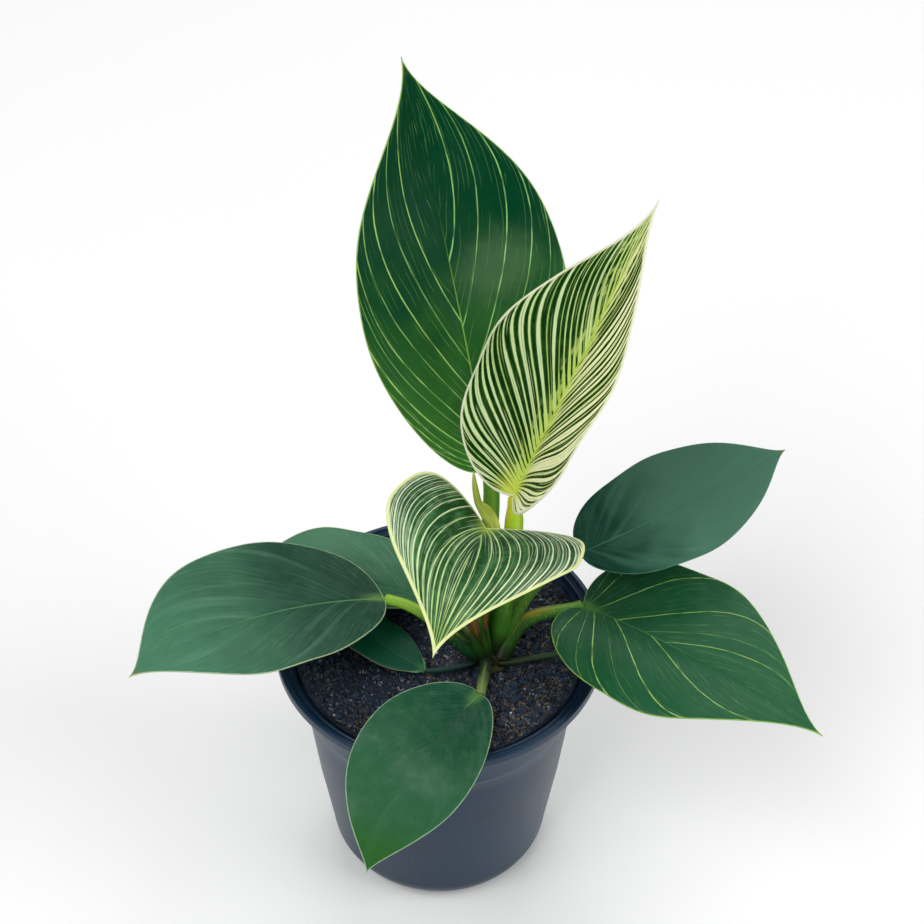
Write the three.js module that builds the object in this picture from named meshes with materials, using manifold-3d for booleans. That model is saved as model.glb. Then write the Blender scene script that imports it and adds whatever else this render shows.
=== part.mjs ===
// Philodendron Birkin in a round nursery pot, millimetres, +Z up.
// The origin is the middle of the pot's flat base. +Y points to the back of the plant.
// Ten leaf blades stand round one short stem, whose stalks are grown together at its foot.

import * as THREE from 'three';
import { mergeVertices } from 'three/addons/utils/BufferGeometryUtils.js';
import Module from 'manifold-3d';

const wasm = await Module();
wasm.setup();

const CLEARANCE = 0.3; // between pieces that touch

// ---------------------------------------------------------------- pot and soil sizes

const POT = {
  height: 98,
  rimRadius: 54,
  lipHeight: 4, // outer edge of the rolled lip
  lipInnerRadius: 52.2,
  lipRounding: 0.6,
  shoulderRadius: 48.6, // where the slope inside the lip meets the wall
  shoulderHeight: 94.2,
  wallTopRadius: 47.9,
  collarHeight: 87, // a small step that runs round the wall
  collarStep: 0.5,
  wallFootRadius: 38.9,
  footRounding: 11,
  baseRadius: 27,
  wallThickness: 1.3,
  floorThickness: 1.8,
};
const POT_SIDES = 48;

const DRAIN = { count: 8, width: 12, height: 4.4, innerRadius: 29.5, outerRadius: 46, firstAngle: -77 };

const SOIL = { edgeHeight: 93.0, middleHeight: 92.2, relief: 1.1, sides: 40, rings: 8 };

// ---------------------------------------------------------------- stem and stalks

const STEM = { x: 16.6, y: -6, radius: 5, top: 100, flare: 6.2, foot: 80, sides: 16 };

// Each stalk leaves the stem at `from`, offsets from the stem's axis and soil level,
// and its two handles bend it towards the foot of its own blade.
const STALKS = {
  tall: { from: [0, 4, 6], handles: [[12.5, 7, 119], [19, 20, 137]], radius: [3.1, 2.3] },
  upright: { from: [2, 1.5, 6], handles: [[20.5, 0, 121], [25, 4, 140]], radius: [3.3, 2.6] },
  heart: { from: [-2, -1, 5], handles: [[10, -7, 118], [14, -5, 136]], radius: [2.8, 2.0] },
  right_low: { from: [3.5, -1.5, 3], handles: [[25, 3, 107], [34, 0.5, 107]], radius: [3.3, 1.7] },
  right_high: { from: [3, 1.5, 4], handles: [[26, 3, 109], [37, 9.5, 116]], radius: [3.9, 2.0] },
  left_wide: { from: [-3.5, 0, 3], handles: [[3, -6, 102], [-3.5, 2.5, 110]], radius: [2.9, 1.7] },
  left_back: { from: [-3, 3, 2], handles: [[7.5, 3, 99], [2, 9.5, 99.5]], radius: [2.3, 1.4] },
  left_small: { from: [-3.5, -2.5, 2], handles: [[8, -12.5, 97], [2, -14.5, 96.3]], radius: [1.5, 0.9] },
  front: { from: [-1, -3.5, 3], handles: [[15, -14, 99], [14, -20, 98]], radius: [3.1, 1.8] },
  right_small: { from: [3, -3, 2], handles: [[27, -11, 96.5], [36, -8.5, 99]], radius: [1.4, 0.9] },
};
const STALK_SIDES = 8;
const STALK_STEPS = 10;

// The sheath that wrapped the newest leaf, a narrow pointed spike with a fuller foot.
const SHEATH = {
  path: [[15, -2, 100], [13, -4, 122], [18, 1, 142], [11.5, 1, 161]],
  radii: [2.2, 2.4, 2.9, 1.5, 0.35],
  flatness: 0.6,
};

// ---------------------------------------------------------------- leaf blades

const BLADE = { thickness: 0.7, ribHeight: 0.9, rows: 14, columns: 4 };

// A blade starts at `foot`, where its stalk ends, and runs along its midrib.
// heading: compass angle of the midrib, counterclockwise from +X. rise: its angle above level.
// bank: turn about the midrib, right side up. Each has a `Turn`, its change from foot to tip.
// fold: how far each half stands up from the midrib, at the foot and at the tip.
// curl: further bend of each half, left and right, out to its widest. wave: ripple of the margin.
// outline: the half blade as two curves, in parts of the length and of the half width.
const LEAVES = {
  tall: {
    foot: [16, 28, 146.5], length: 133, halfWidth: [34.5, 36.5],
    heading: 108, headingTurn: 8, rise: 56, riseTurn: 0, bank: 0, bankTurn: -8,
    fold: [10, 23], curl: [-18, -7], wave: 0.8,
    outline: { widest: 0.45, shoulder: 0.3, taper: 0.14, lobeBack: 0.04, lobeOut: 0.37, lobeRound: -0.22 },
  },
  upright: {
    foot: [23, 8, 153.5], length: 103, halfWidth: [33, 32.5],
    heading: 40, headingTurn: 4, rise: 57, riseTurn: -1, bank: 13, bankTurn: -1,
    fold: [28, 12], curl: [-8, 4], wave: 1.0,
    outline: { widest: 0.32, shoulder: 0.33, taper: 0.21, lobeBack: 0.06, lobeOut: 0.39, lobeRound: -0.06 },
  },
  heart: {
    foot: [14.5, -1.5, 149], length: 64.5, halfWidth: [34.5, 30.5],
    heading: 251, headingTurn: 8, rise: 17, riseTurn: -17, bank: 19, bankTurn: -13,
    fold: [28, 21], curl: [0, -24], wave: 0.6,
    outline: { widest: 0.27, shoulder: 0.22, taper: 0.25, lobeBack: 0.04, lobeOut: 0.58, lobeRound: 0.08 },
  },
  right_low: {
    foot: [47, 4.5, 107], length: 92, halfWidth: [30, 29.5],
    heading: -39, headingTurn: -4, rise: 11, riseTurn: -13, bank: 4, bankTurn: -2,
    fold: [17, 7], curl: [-1, -38], wave: 0.6,
    outline: { widest: 0.36, shoulder: 0.28, taper: 0.16, lobeBack: 0.08, lobeOut: 0.42, lobeRound: -0.01 },
  },
  right_high: {
    foot: [46.5, 16.5, 119.5], length: 75.5, halfWidth: [25, 24.5],
    heading: 19, headingTurn: 4, rise: 13, riseTurn: 8, bank: 8, bankTurn: -9,
    fold: [8, 11], curl: [-10, -11], wave: 0.4,
    outline: { widest: 0.41, shoulder: 0.37, taper: 0.09, lobeBack: 0.04, lobeOut: 0.34, lobeRound: -0.08 },
  },
  left_wide: {
    foot: [-18, 5, 109.5], length: 93, halfWidth: [27.5, 29.5],
    heading: 194, headingTurn: 36, rise: 14, riseTurn: -7, bank: -11, bankTurn: 17,
    fold: [11, 8], curl: [-10, 4], wave: 0.5,
    outline: { widest: 0.45, shoulder: 0.31, taper: 0.12, lobeBack: -0.01, lobeOut: 0.36, lobeRound: -0.08 },
  },
  left_back: {
    foot: [-4, 16, 98], length: 63, halfWidth: [21.5, 22],
    heading: 163, headingTurn: 3, rise: 5, riseTurn: -8, bank: -11, bankTurn: 4,
    fold: [20, 9], curl: [-3, -10], wave: 0.3,
    outline: { widest: 0.55, shoulder: 0.33, taper: 0.12, lobeBack: 0.09, lobeOut: 0.42, lobeRound: -0.03 },
  },
  left_small: {
    foot: [-4.5, -14, 96], length: 42, halfWidth: [11, 10.5],
    heading: 151, headingTurn: -12, rise: 9, riseTurn: -4, bank: -11, bankTurn: 2,
    fold: [5, 16], curl: [6, -6], wave: 0.2,
    outline: { widest: 0.5, shoulder: 0.3, taper: 0.2, lobeBack: -0.08, lobeOut: 0.34, lobeRound: -0.15 },
  },
  front: {
    foot: [13, -25.5, 97.5], length: 75, halfWidth: [18.5, 20.5],
    heading: 231, headingTurn: 22, rise: 9, riseTurn: -24, bank: 6, bankTurn: 9,
    fold: [17, 4], curl: [-8, -4], wave: 0.4,
    outline: { widest: 0.46, shoulder: 0.31, taper: 0.08, lobeBack: 0.03, lobeOut: 0.28, lobeRound: -0.18 },
  },
  right_small: {
    foot: [46.5, -10, 101], length: 34, halfWidth: [10, 10],
    heading: -20, headingTurn: -10, rise: 6, riseTurn: -14, bank: 0, bankTurn: 0,
    fold: [10, 4], curl: [-8, -8], wave: 0.2,
    outline: { widest: 0.4, shoulder: 0.3, taper: 0.2, lobeBack: 0.05, lobeOut: 0.4, lobeRound: 0 },
  },
};

// ---------------------------------------------------------------- finishes

const FINISH = {
  pot: { color: 0x3f4a60, roughness: 0.45 },
  soil: { color: 0x1d1a1c, roughness: 0.95 },
  stalk: { color: 0x6f8f3a, roughness: 0.5 },
  darkLeaf: { color: 0x24523a, roughness: 0.4 },
  stripedLeaf: { color: 0x8fb487, roughness: 0.4 },
};
const STRIPED = ['upright', 'heart'];

// ---------------------------------------------------------------- small helpers

const rad = THREE.MathUtils.degToRad;

function finish(name) {
  return new THREE.MeshStandardMaterial({ ...FINISH[name], metalness: 0, side: THREE.DoubleSide });
}

function indexed(positions, triangles) {
  const geometry = new THREE.BufferGeometry();
  geometry.setAttribute('position', new THREE.Float32BufferAttribute(positions, 3));
  geometry.setIndex(triangles);
  return geometry;
}

function joined(geometry) {
  geometry.deleteAttribute('normal');
  geometry.deleteAttribute('uv');
  return mergeVertices(geometry, 1e-4);
}

// A closed geometry as a solid that can be joined or cut.
function solid(geometry) {
  const merged = joined(geometry);
  const index = merged.index.array;
  const kept = [];
  for (let i = 0; i < index.length; i += 3) {
    const [a, b, c] = [index[i], index[i + 1], index[i + 2]];
    if (a !== b && b !== c && c !== a) kept.push(a, b, c);
  }
  return new wasm.Manifold(new wasm.Mesh({
    numProp: 3,
    vertProperties: Float32Array.from(merged.attributes.position.array),
    triVerts: Uint32Array.from(kept),
  }));
}

function geometryOf(manifold) {
  const mesh = manifold.getMesh();
  return indexed(Array.from(mesh.vertProperties), Array.from(mesh.triVerts));
}

// The largest body of a cut solid, without loose scraps.
function largestBody(manifold) {
  const bodies = manifold.decompose();
  return bodies.reduce((best, body) => (body.volume() > best.volume() ? body : best));
}

// ---------------------------------------------------------------- pot

function arcPoints(centreX, centreY, radius, fromAngle, toAngle, steps) {
  const clockwise = toAngle < fromAngle;
  const ends = [rad(fromAngle), rad(toAngle)];
  return new THREE.EllipseCurve(centreX, centreY, radius, radius, ...ends, clockwise).getPoints(steps);
}

function wallRadius(height) {
  const rise = (height - POT.footRounding) / (POT.shoulderHeight - POT.footRounding);
  return POT.wallFootRadius + rise * (POT.wallTopRadius - POT.collarStep - POT.wallFootRadius);
}

function potProfile() {
  const point = (x, y) => new THREE.Vector2(x, y);
  const rimLow = POT.height - POT.lipHeight;
  const inside = POT.wallThickness;
  const foot = POT.footRounding;
  return [
    point(0, 0),
    ...arcPoints(POT.baseRadius, foot, foot, -90, 0, 5),
    point(wallRadius(POT.collarHeight - 0.8), POT.collarHeight - 0.8),
    point(wallRadius(POT.collarHeight) + POT.collarStep, POT.collarHeight),
    point(POT.wallTopRadius, rimLow - 0.6),
    point(POT.rimRadius - POT.lipRounding, rimLow),
    point(POT.rimRadius, rimLow + POT.lipRounding),
    point(POT.rimRadius, POT.height - POT.lipRounding),
    point(POT.rimRadius - POT.lipRounding, POT.height),
    point(POT.lipInnerRadius, POT.height),
    point(POT.lipInnerRadius - 0.5, POT.height - 0.6),
    point(POT.shoulderRadius, POT.shoulderHeight),
    point(POT.wallTopRadius - inside, POT.shoulderHeight - 1.6),
    point(wallRadius(foot) - inside, foot),
    ...arcPoints(POT.baseRadius, foot, foot - POT.floorThickness, 0, -90, 4).slice(1),
    point(0, POT.floorThickness),
  ];
}

function pot() {
  const shell = new THREE.LatheGeometry(potProfile(), POT_SIDES);
  shell.rotateX(Math.PI / 2);
  let body = solid(shell);
  for (let i = 0; i < DRAIN.count; i += 1) {
    const reach = DRAIN.outerRadius - DRAIN.innerRadius;
    const slot = new THREE.BoxGeometry(reach, DRAIN.width, DRAIN.height * 2);
    slot.translate(DRAIN.innerRadius + reach / 2, 0, 0);
    slot.rotateZ(rad(DRAIN.firstAngle + (i * 360) / DRAIN.count));
    body = body.subtract(solid(slot));
  }
  return new THREE.Mesh(geometryOf(body), finish('pot'));
}

// ---------------------------------------------------------------- soil

// Height of the loose soil surface: a shallow hollow with crumbs of a few sizes.
function soilHeight(x, y) {
  const reach = Math.hypot(x, y) / POT.shoulderRadius;
  const base = SOIL.middleHeight + (SOIL.edgeHeight - SOIL.middleHeight) * reach ** 2;
  const broad = Math.sin(x * 0.21 + 1.3) * Math.cos(y * 0.17 - 0.4);
  const crumbs = Math.sin(x * 0.83 + y * 0.37) * Math.sin(y * 0.71 - x * 0.29 + 0.9);
  return base + SOIL.relief * (0.45 * broad + 0.55 * crumbs);
}

function soilRadius(height) {
  return wallRadius(height) - POT.wallThickness - CLEARANCE;
}

function soilProfile() {
  const point = (x, y) => new THREE.Vector2(x, y);
  const floor = POT.floorThickness + CLEARANCE;
  const foot = POT.footRounding;
  const bend = foot - POT.floorThickness - CLEARANCE;
  const profile = [
    point(0, floor),
    ...arcPoints(POT.baseRadius - 0.1, foot, bend, -90, 0, 4),
    point(soilRadius(SOIL.edgeHeight - 4), SOIL.edgeHeight - 4),
    point(soilRadius(SOIL.edgeHeight - 2), SOIL.edgeHeight),
  ];
  const edge = soilRadius(SOIL.edgeHeight - 2);
  for (let ring = 1; ring <= SOIL.rings; ring += 1) {
    profile.push(point(edge * (1 - ring / SOIL.rings), SOIL.edgeHeight));
  }
  return profile;
}

function soil() {
  const heap = new THREE.LatheGeometry(soilProfile(), SOIL.sides);
  heap.rotateX(Math.PI / 2);
  const position = heap.attributes.position;
  const surfaceReach = soilRadius(SOIL.edgeHeight - 2) - 1;
  for (let i = 0; i < position.count; i += 1) {
    const [x, y, z] = [position.getX(i), position.getY(i), position.getZ(i)];
    const onTop = z > SOIL.edgeHeight - 0.5 && Math.hypot(x, y) < surfaceReach;
    if (onTop) position.setZ(i, soilHeight(x, y));
  }
  const holeRadius = STEM.flare + CLEARANCE;
  const holeDepth = 30;
  const hole = new THREE.CylinderGeometry(holeRadius, holeRadius, holeDepth, STEM.sides);
  hole.rotateX(Math.PI / 2);
  hole.translate(STEM.x, STEM.y, STEM.foot - CLEARANCE + holeDepth / 2);
  const body = solid(heap).subtract(solid(hole));
  return new THREE.Mesh(geometryOf(body), finish('soil'));
}

// ---------------------------------------------------------------- stem, stalks and sheath

function vector([x, y, z]) {
  return new THREE.Vector3(x, y, z);
}

// A closed round body along a curve, whose radius follows radiusAt(0..1).
function taperedBody(curve, radiusAt, sides, steps, flatness = 1) {
  const frames = curve.computeFrenetFrames(steps, false);
  const positions = [];
  for (let step = 0; step <= steps; step += 1) {
    const centre = curve.getPointAt(step / steps);
    const radius = radiusAt(step / steps);
    for (let side = 0; side < sides; side += 1) {
      const angle = (side / sides) * 2 * Math.PI;
      const spot = centre.clone();
      spot.addScaledVector(frames.normals[step], radius * Math.cos(angle));
      spot.addScaledVector(frames.binormals[step], radius * flatness * Math.sin(angle));
      positions.push(spot.x, spot.y, spot.z);
    }
  }
  const triangles = [];
  for (let step = 0; step < steps; step += 1) {
    for (let side = 0; side < sides; side += 1) {
      const a = step * sides + side;
      const b = step * sides + ((side + 1) % sides);
      triangles.push(a, b, b + sides, a, b + sides, a + sides);
    }
  }
  const last = steps * sides;
  for (let side = 1; side < sides - 1; side += 1) {
    triangles.push(0, side + 1, side);
    triangles.push(last, last + side, last + side + 1);
  }
  return indexed(positions, triangles);
}

function stalkCurve(name) {
  const { from, handles } = STALKS[name];
  const start = vector([STEM.x + from[0], STEM.y + from[1], SOIL.middleHeight + from[2]]);
  return new THREE.CubicBezierCurve3(start, vector(handles[0]), vector(handles[1]), vector(LEAVES[name].foot));
}

function stalkBody(name, extra = 0) {
  const [thick, thin] = STALKS[name].radius;
  const radiusAt = (t) => thin + (thick - thin) * (1 - t) ** 1.6 + extra;
  return taperedBody(stalkCurve(name), radiusAt, STALK_SIDES, STALK_STEPS);
}

function stemBody() {
  const point = (x, y) => new THREE.Vector2(x, y);
  const profile = [
    point(0, STEM.foot),
    point(STEM.radius - 1, STEM.foot),
    point(STEM.flare, STEM.foot + 5),
    point(STEM.flare, SOIL.middleHeight + 1),
    point(STEM.radius, STEM.top - 3),
    point(STEM.radius - 2, STEM.top),
    point(0, STEM.top + 1),
  ];
  const stem = new THREE.LatheGeometry(profile, STEM.sides);
  stem.rotateX(Math.PI / 2);
  stem.translate(STEM.x, STEM.y, 0);
  return stem;
}

function sheathBody() {
  const curve = new THREE.CubicBezierCurve3(...SHEATH.path.map(vector));
  const spans = SHEATH.radii.length - 1;
  const radiusAt = (t) => {
    const span = Math.min(Math.floor(t * spans), spans - 1);
    return THREE.MathUtils.lerp(SHEATH.radii[span], SHEATH.radii[span + 1], t * spans - span);
  };
  return taperedBody(curve, radiusAt, STALK_SIDES, STALK_STEPS, SHEATH.flatness);
}

function shoot() {
  let body = solid(stemBody()).add(solid(sheathBody()));
  for (const name of Object.keys(STALKS)) {
    body = body.add(solid(stalkBody(name)));
  }
  return new THREE.Mesh(geometryOf(largestBody(body)), finish('stalk'));
}

// ---------------------------------------------------------------- leaf blades

function midribTangent(leaf, t) {
  const heading = rad(leaf.heading + leaf.headingTurn * t);
  const rise = rad(leaf.rise + leaf.riseTurn * t);
  return new THREE.Vector3(
    Math.cos(rise) * Math.cos(heading),
    Math.cos(rise) * Math.sin(heading),
    Math.sin(rise),
  );
}

// Midrib point and the blade's side and up directions, `along` mm from the foot.
function midribFrame(leaf, along) {
  const steps = 24;
  const place = vector(leaf.foot);
  for (let i = 0; i < steps; i += 1) {
    const middle = ((i + 0.5) / steps) * along;
    place.addScaledVector(midribTangent(leaf, middle / leaf.length), along / steps);
  }
  const t = along / leaf.length;
  const tangent = midribTangent(leaf, t);
  const heading = rad(leaf.heading + leaf.headingTurn * t);
  const levelSide = new THREE.Vector3(Math.sin(heading), -Math.cos(heading), 0);
  const levelUp = new THREE.Vector3().crossVectors(levelSide, tangent);
  const bank = rad(leaf.bank + leaf.bankTurn * t);
  const side = levelSide.clone().multiplyScalar(Math.cos(bank)).addScaledVector(levelUp, Math.sin(bank));
  const up = levelUp.clone().multiplyScalar(Math.cos(bank)).addScaledVector(levelSide, -Math.sin(bank));
  return { place, side, up };
}

// A point of the blade's surface, `along` the midrib and `out` towards the margin.
// hand is 1 on the right half and 0 on the left.
function bladeSurface(leaf, hand, along, out) {
  const frame = midribFrame(leaf, along);
  const t = THREE.MathUtils.clamp(along / leaf.length, 0, 1);
  const fold = rad(THREE.MathUtils.lerp(leaf.fold[0], leaf.fold[1], t));
  const halfWidth = leaf.halfWidth[hand];
  const bend = (rad(leaf.curl[hand]) || 1e-5) / halfWidth;
  const across = (Math.sin(fold + bend * out) - Math.sin(fold)) / bend;
  const ripple = Math.sin((along / leaf.length) * 17 + hand * 2.1);
  const lift = (Math.cos(fold) - Math.cos(fold + bend * out)) / bend;
  const height = lift + leaf.wave * (out / halfWidth) ** 2 * ripple;
  const sign = hand === 1 ? 1 : -1;
  return frame.place.addScaledVector(frame.side, sign * across).addScaledVector(frame.up, height);
}

// The flat half blade's margin, from the foot round the lobe to the tip.
function margin(leaf, hand) {
  const { widest, shoulder, taper, lobeBack, lobeOut, lobeRound } = leaf.outline;
  const [length, width] = [leaf.length, leaf.halfWidth[hand]];
  const point = (x, y) => new THREE.Vector2(x * length, y * width);
  const curve = new THREE.CurvePath();
  curve.add(new THREE.CubicBezierCurve(
    point(0, 0), point(-lobeBack, lobeOut), point(-lobeRound, 1), point(widest, 1),
  ));
  curve.add(new THREE.CubicBezierCurve(
    point(widest, 1), point(widest + shoulder, 1), point(1 - taper, 0.07), point(1, 0),
  ));
  return curve;
}

// Rows of a half blade follow the side veins, which leave the midrib and sweep to the tip.
function veinGrid(leaf, hand) {
  const edge = margin(leaf, hand);
  const rows = [];
  for (let row = 0; row <= BLADE.rows; row += 1) {
    const p = row / BLADE.rows;
    const start = new THREE.Vector2(p * leaf.length, 0);
    const end = edge.getPointAt(p ** 0.8);
    const bow = 4 * p * (1 - p);
    const handle = start.clone().lerp(end, 0.5);
    handle.x -= 0.05 * leaf.length * bow;
    handle.y += 0.08 * leaf.halfWidth[hand] * bow;
    const vein = new THREE.QuadraticBezierCurve(start, handle, end);
    rows.push(Array.from({ length: BLADE.columns + 1 }, (_, column) => vein.getPoint(column / BLADE.columns)));
  }
  return rows;
}

// Upper and lower faces share one pattern of triangles and meet round the margin.
function bladeBody(leaf) {
  const positions = [];
  const triangles = [];
  const spots = new Map();
  const spot = (hand, row, column, face) => {
    const pole = row === 0 || row === BLADE.rows;
    const key = pole ? `${row}/${face}` : `${column === 0 ? 'rib' : hand}/${row}/${column}/${face}`;
    if (!spots.has(key)) {
      const flat = grids[hand][row][pole ? 0 : column];
      const place = bladeSurface(leaf, hand, flat.x, flat.y);
      const rib = column === 0 && !pole ? BLADE.ribHeight * (1 - row / BLADE.rows) : 0;
      const depth = face === 'upper' ? BLADE.thickness / 2 : -BLADE.thickness / 2 - rib;
      place.addScaledVector(midribFrame(leaf, flat.x).up, depth);
      spots.set(key, positions.length / 3);
      positions.push(place.x, place.y, place.z);
    }
    return spots.get(key);
  };
  const addQuad = (a, b, c, d) => {
    if (a !== b && b !== c && a !== c) triangles.push(a, b, c);
    if (a !== c && c !== d && a !== d) triangles.push(a, c, d);
  };
  const grids = [veinGrid(leaf, 0), veinGrid(leaf, 1)];
  for (const hand of [0, 1]) {
    for (let row = 0; row < BLADE.rows; row += 1) {
      for (let column = 0; column < BLADE.columns; column += 1) {
        const corner = (face) => [
          spot(hand, row, column, face),
          spot(hand, row, column + 1, face),
          spot(hand, row + 1, column + 1, face),
          spot(hand, row + 1, column, face),
        ];
        const upper = corner('upper');
        const lower = corner('lower');
        if (hand === 1) {
          addQuad(...upper);
          addQuad(lower[0], lower[3], lower[2], lower[1]);
        } else {
          addQuad(upper[0], upper[3], upper[2], upper[1]);
          addQuad(...lower);
        }
      }
      const [u0, u1] = [0, 1].map((step) => spot(hand, row + step, BLADE.columns, 'upper'));
      const [l0, l1] = [0, 1].map((step) => spot(hand, row + step, BLADE.columns, 'lower'));
      if (hand === 1) addQuad(u0, l0, l1, u1);
      else addQuad(u0, u1, l1, l0);
    }
  }
  return indexed(positions, triangles);
}

function blade(name) {
  const body = solid(bladeBody(LEAVES[name])).subtract(solid(stalkBody(name, CLEARANCE)));
  const look = STRIPED.includes(name) ? 'stripedLeaf' : 'darkLeaf';
  return new THREE.Mesh(geometryOf(largestBody(body)), finish(look));
}

// ---------------------------------------------------------------- the plant

function named(mesh, name) {
  mesh.name = name;
  return mesh;
}

const plant = new THREE.Group();
plant.add(named(pot(), 'pot'));
plant.add(named(soil(), 'soil'));
plant.add(named(shoot(), 'shoot'));
for (const name of Object.keys(LEAVES)) {
  plant.add(named(blade(name), `leaf_${name}`));
}

export default plant;
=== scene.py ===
"""A potted philodendron Birkin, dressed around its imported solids.

Each sub-assembly is a class: it holds its sizes in millimetres, builds its own meshes and dresses
them. The frame is +Z up with the origin in the middle of the pot's flat base, and +Y points to the
back of the plant.
"""

import logging
import math
from contextlib import contextmanager
from dataclasses import dataclass
from enum import Enum
from typing import Any, Callable, Iterator, Sequence, Union

import bpy
import numpy as np
from mathutils import Matrix, Vector, noise


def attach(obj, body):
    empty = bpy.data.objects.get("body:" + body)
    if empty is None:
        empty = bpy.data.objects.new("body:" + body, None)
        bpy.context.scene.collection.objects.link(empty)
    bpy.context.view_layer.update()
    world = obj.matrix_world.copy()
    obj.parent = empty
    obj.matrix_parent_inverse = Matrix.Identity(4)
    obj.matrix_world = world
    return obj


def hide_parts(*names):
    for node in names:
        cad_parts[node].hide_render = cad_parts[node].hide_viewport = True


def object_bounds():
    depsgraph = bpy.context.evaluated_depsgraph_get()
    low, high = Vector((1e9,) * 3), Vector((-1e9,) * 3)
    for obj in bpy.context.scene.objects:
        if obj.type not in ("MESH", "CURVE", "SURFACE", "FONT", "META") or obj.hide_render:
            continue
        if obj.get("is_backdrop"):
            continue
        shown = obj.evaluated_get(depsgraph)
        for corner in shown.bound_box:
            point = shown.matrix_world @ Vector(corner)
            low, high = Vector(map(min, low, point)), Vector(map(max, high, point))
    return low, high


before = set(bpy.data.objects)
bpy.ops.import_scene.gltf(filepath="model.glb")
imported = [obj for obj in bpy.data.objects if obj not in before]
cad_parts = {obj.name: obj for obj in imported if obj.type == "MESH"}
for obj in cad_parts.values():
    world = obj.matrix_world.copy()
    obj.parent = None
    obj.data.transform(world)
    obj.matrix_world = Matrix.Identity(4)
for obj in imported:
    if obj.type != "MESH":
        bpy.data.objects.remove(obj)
CAD_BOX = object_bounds()

MM = 0.001
BODY = "root"
LOG = logging.getLogger("birkin")

Colour = tuple[float, float, float]
Point = tuple[float, float, float]
Pair = tuple[float, float]
Number = Union["Wire", float]


# ------------------------------------------------------------------ shader wrappers


def linear(hex_colour: str) -> Colour:
    """Turns a written sRGB colour into linear light.

    Args:
        hex_colour: Six hexadecimal digits.

    Returns:
        Red, green and blue in linear light.
    """
    parts = [int(hex_colour[i:i + 2], 16) / 255 for i in (0, 2, 4)]
    return tuple(c / 12.92 if c <= 0.04045 else ((c + 0.055) / 1.055) ** 2.4 for c in parts)


def math_node(operation: str, backwards: bool = False) -> Callable[..., "Wire"]:
    """Makes a method that adds one kind of Math node.

    Args:
        operation: The node's operation.
        backwards: Whether the wire's own value comes last.

    Returns:
        The method.
    """

    def method(wire: "Wire", *others: Number) -> "Wire":
        """Adds the node and returns its output."""
        values = (*others, wire) if backwards else (wire, *others)
        return wire.paint.node("ShaderNodeMath", {"operation": operation}, dict(enumerate(values)))

    return method


class Wire:
    """One output socket, whose operators and methods add Math nodes."""

    __add__ = __radd__ = math_node("ADD")
    __sub__ = math_node("SUBTRACT")
    __rsub__ = math_node("SUBTRACT", backwards=True)
    __mul__ = __rmul__ = math_node("MULTIPLY")
    __truediv__ = math_node("DIVIDE")
    size = math_node("ABSOLUTE")
    above = math_node("MAXIMUM")
    below = math_node("MINIMUM")
    fraction = math_node("FRACT")

    def __init__(self, paint: "Paint", socket: bpy.types.NodeSocket) -> None:
        """Keeps the material that the socket belongs to, and the socket."""
        self.paint = paint
        self.socket = socket

    def step(self, low: Number, high: Number) -> "Wire":
        """Rises smoothly from 0 at low to 1 at high, or falls where low is the larger.

        Args:
            low: Where it is 0.
            high: Where it is 1.

        Returns:
            The smooth step.
        """
        return self.paint.node(
            "ShaderNodeMapRange",
            {"interpolation_type": "SMOOTHSTEP"},
            {"Value": self, "From Min": low, "From Max": high},
        )


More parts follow.
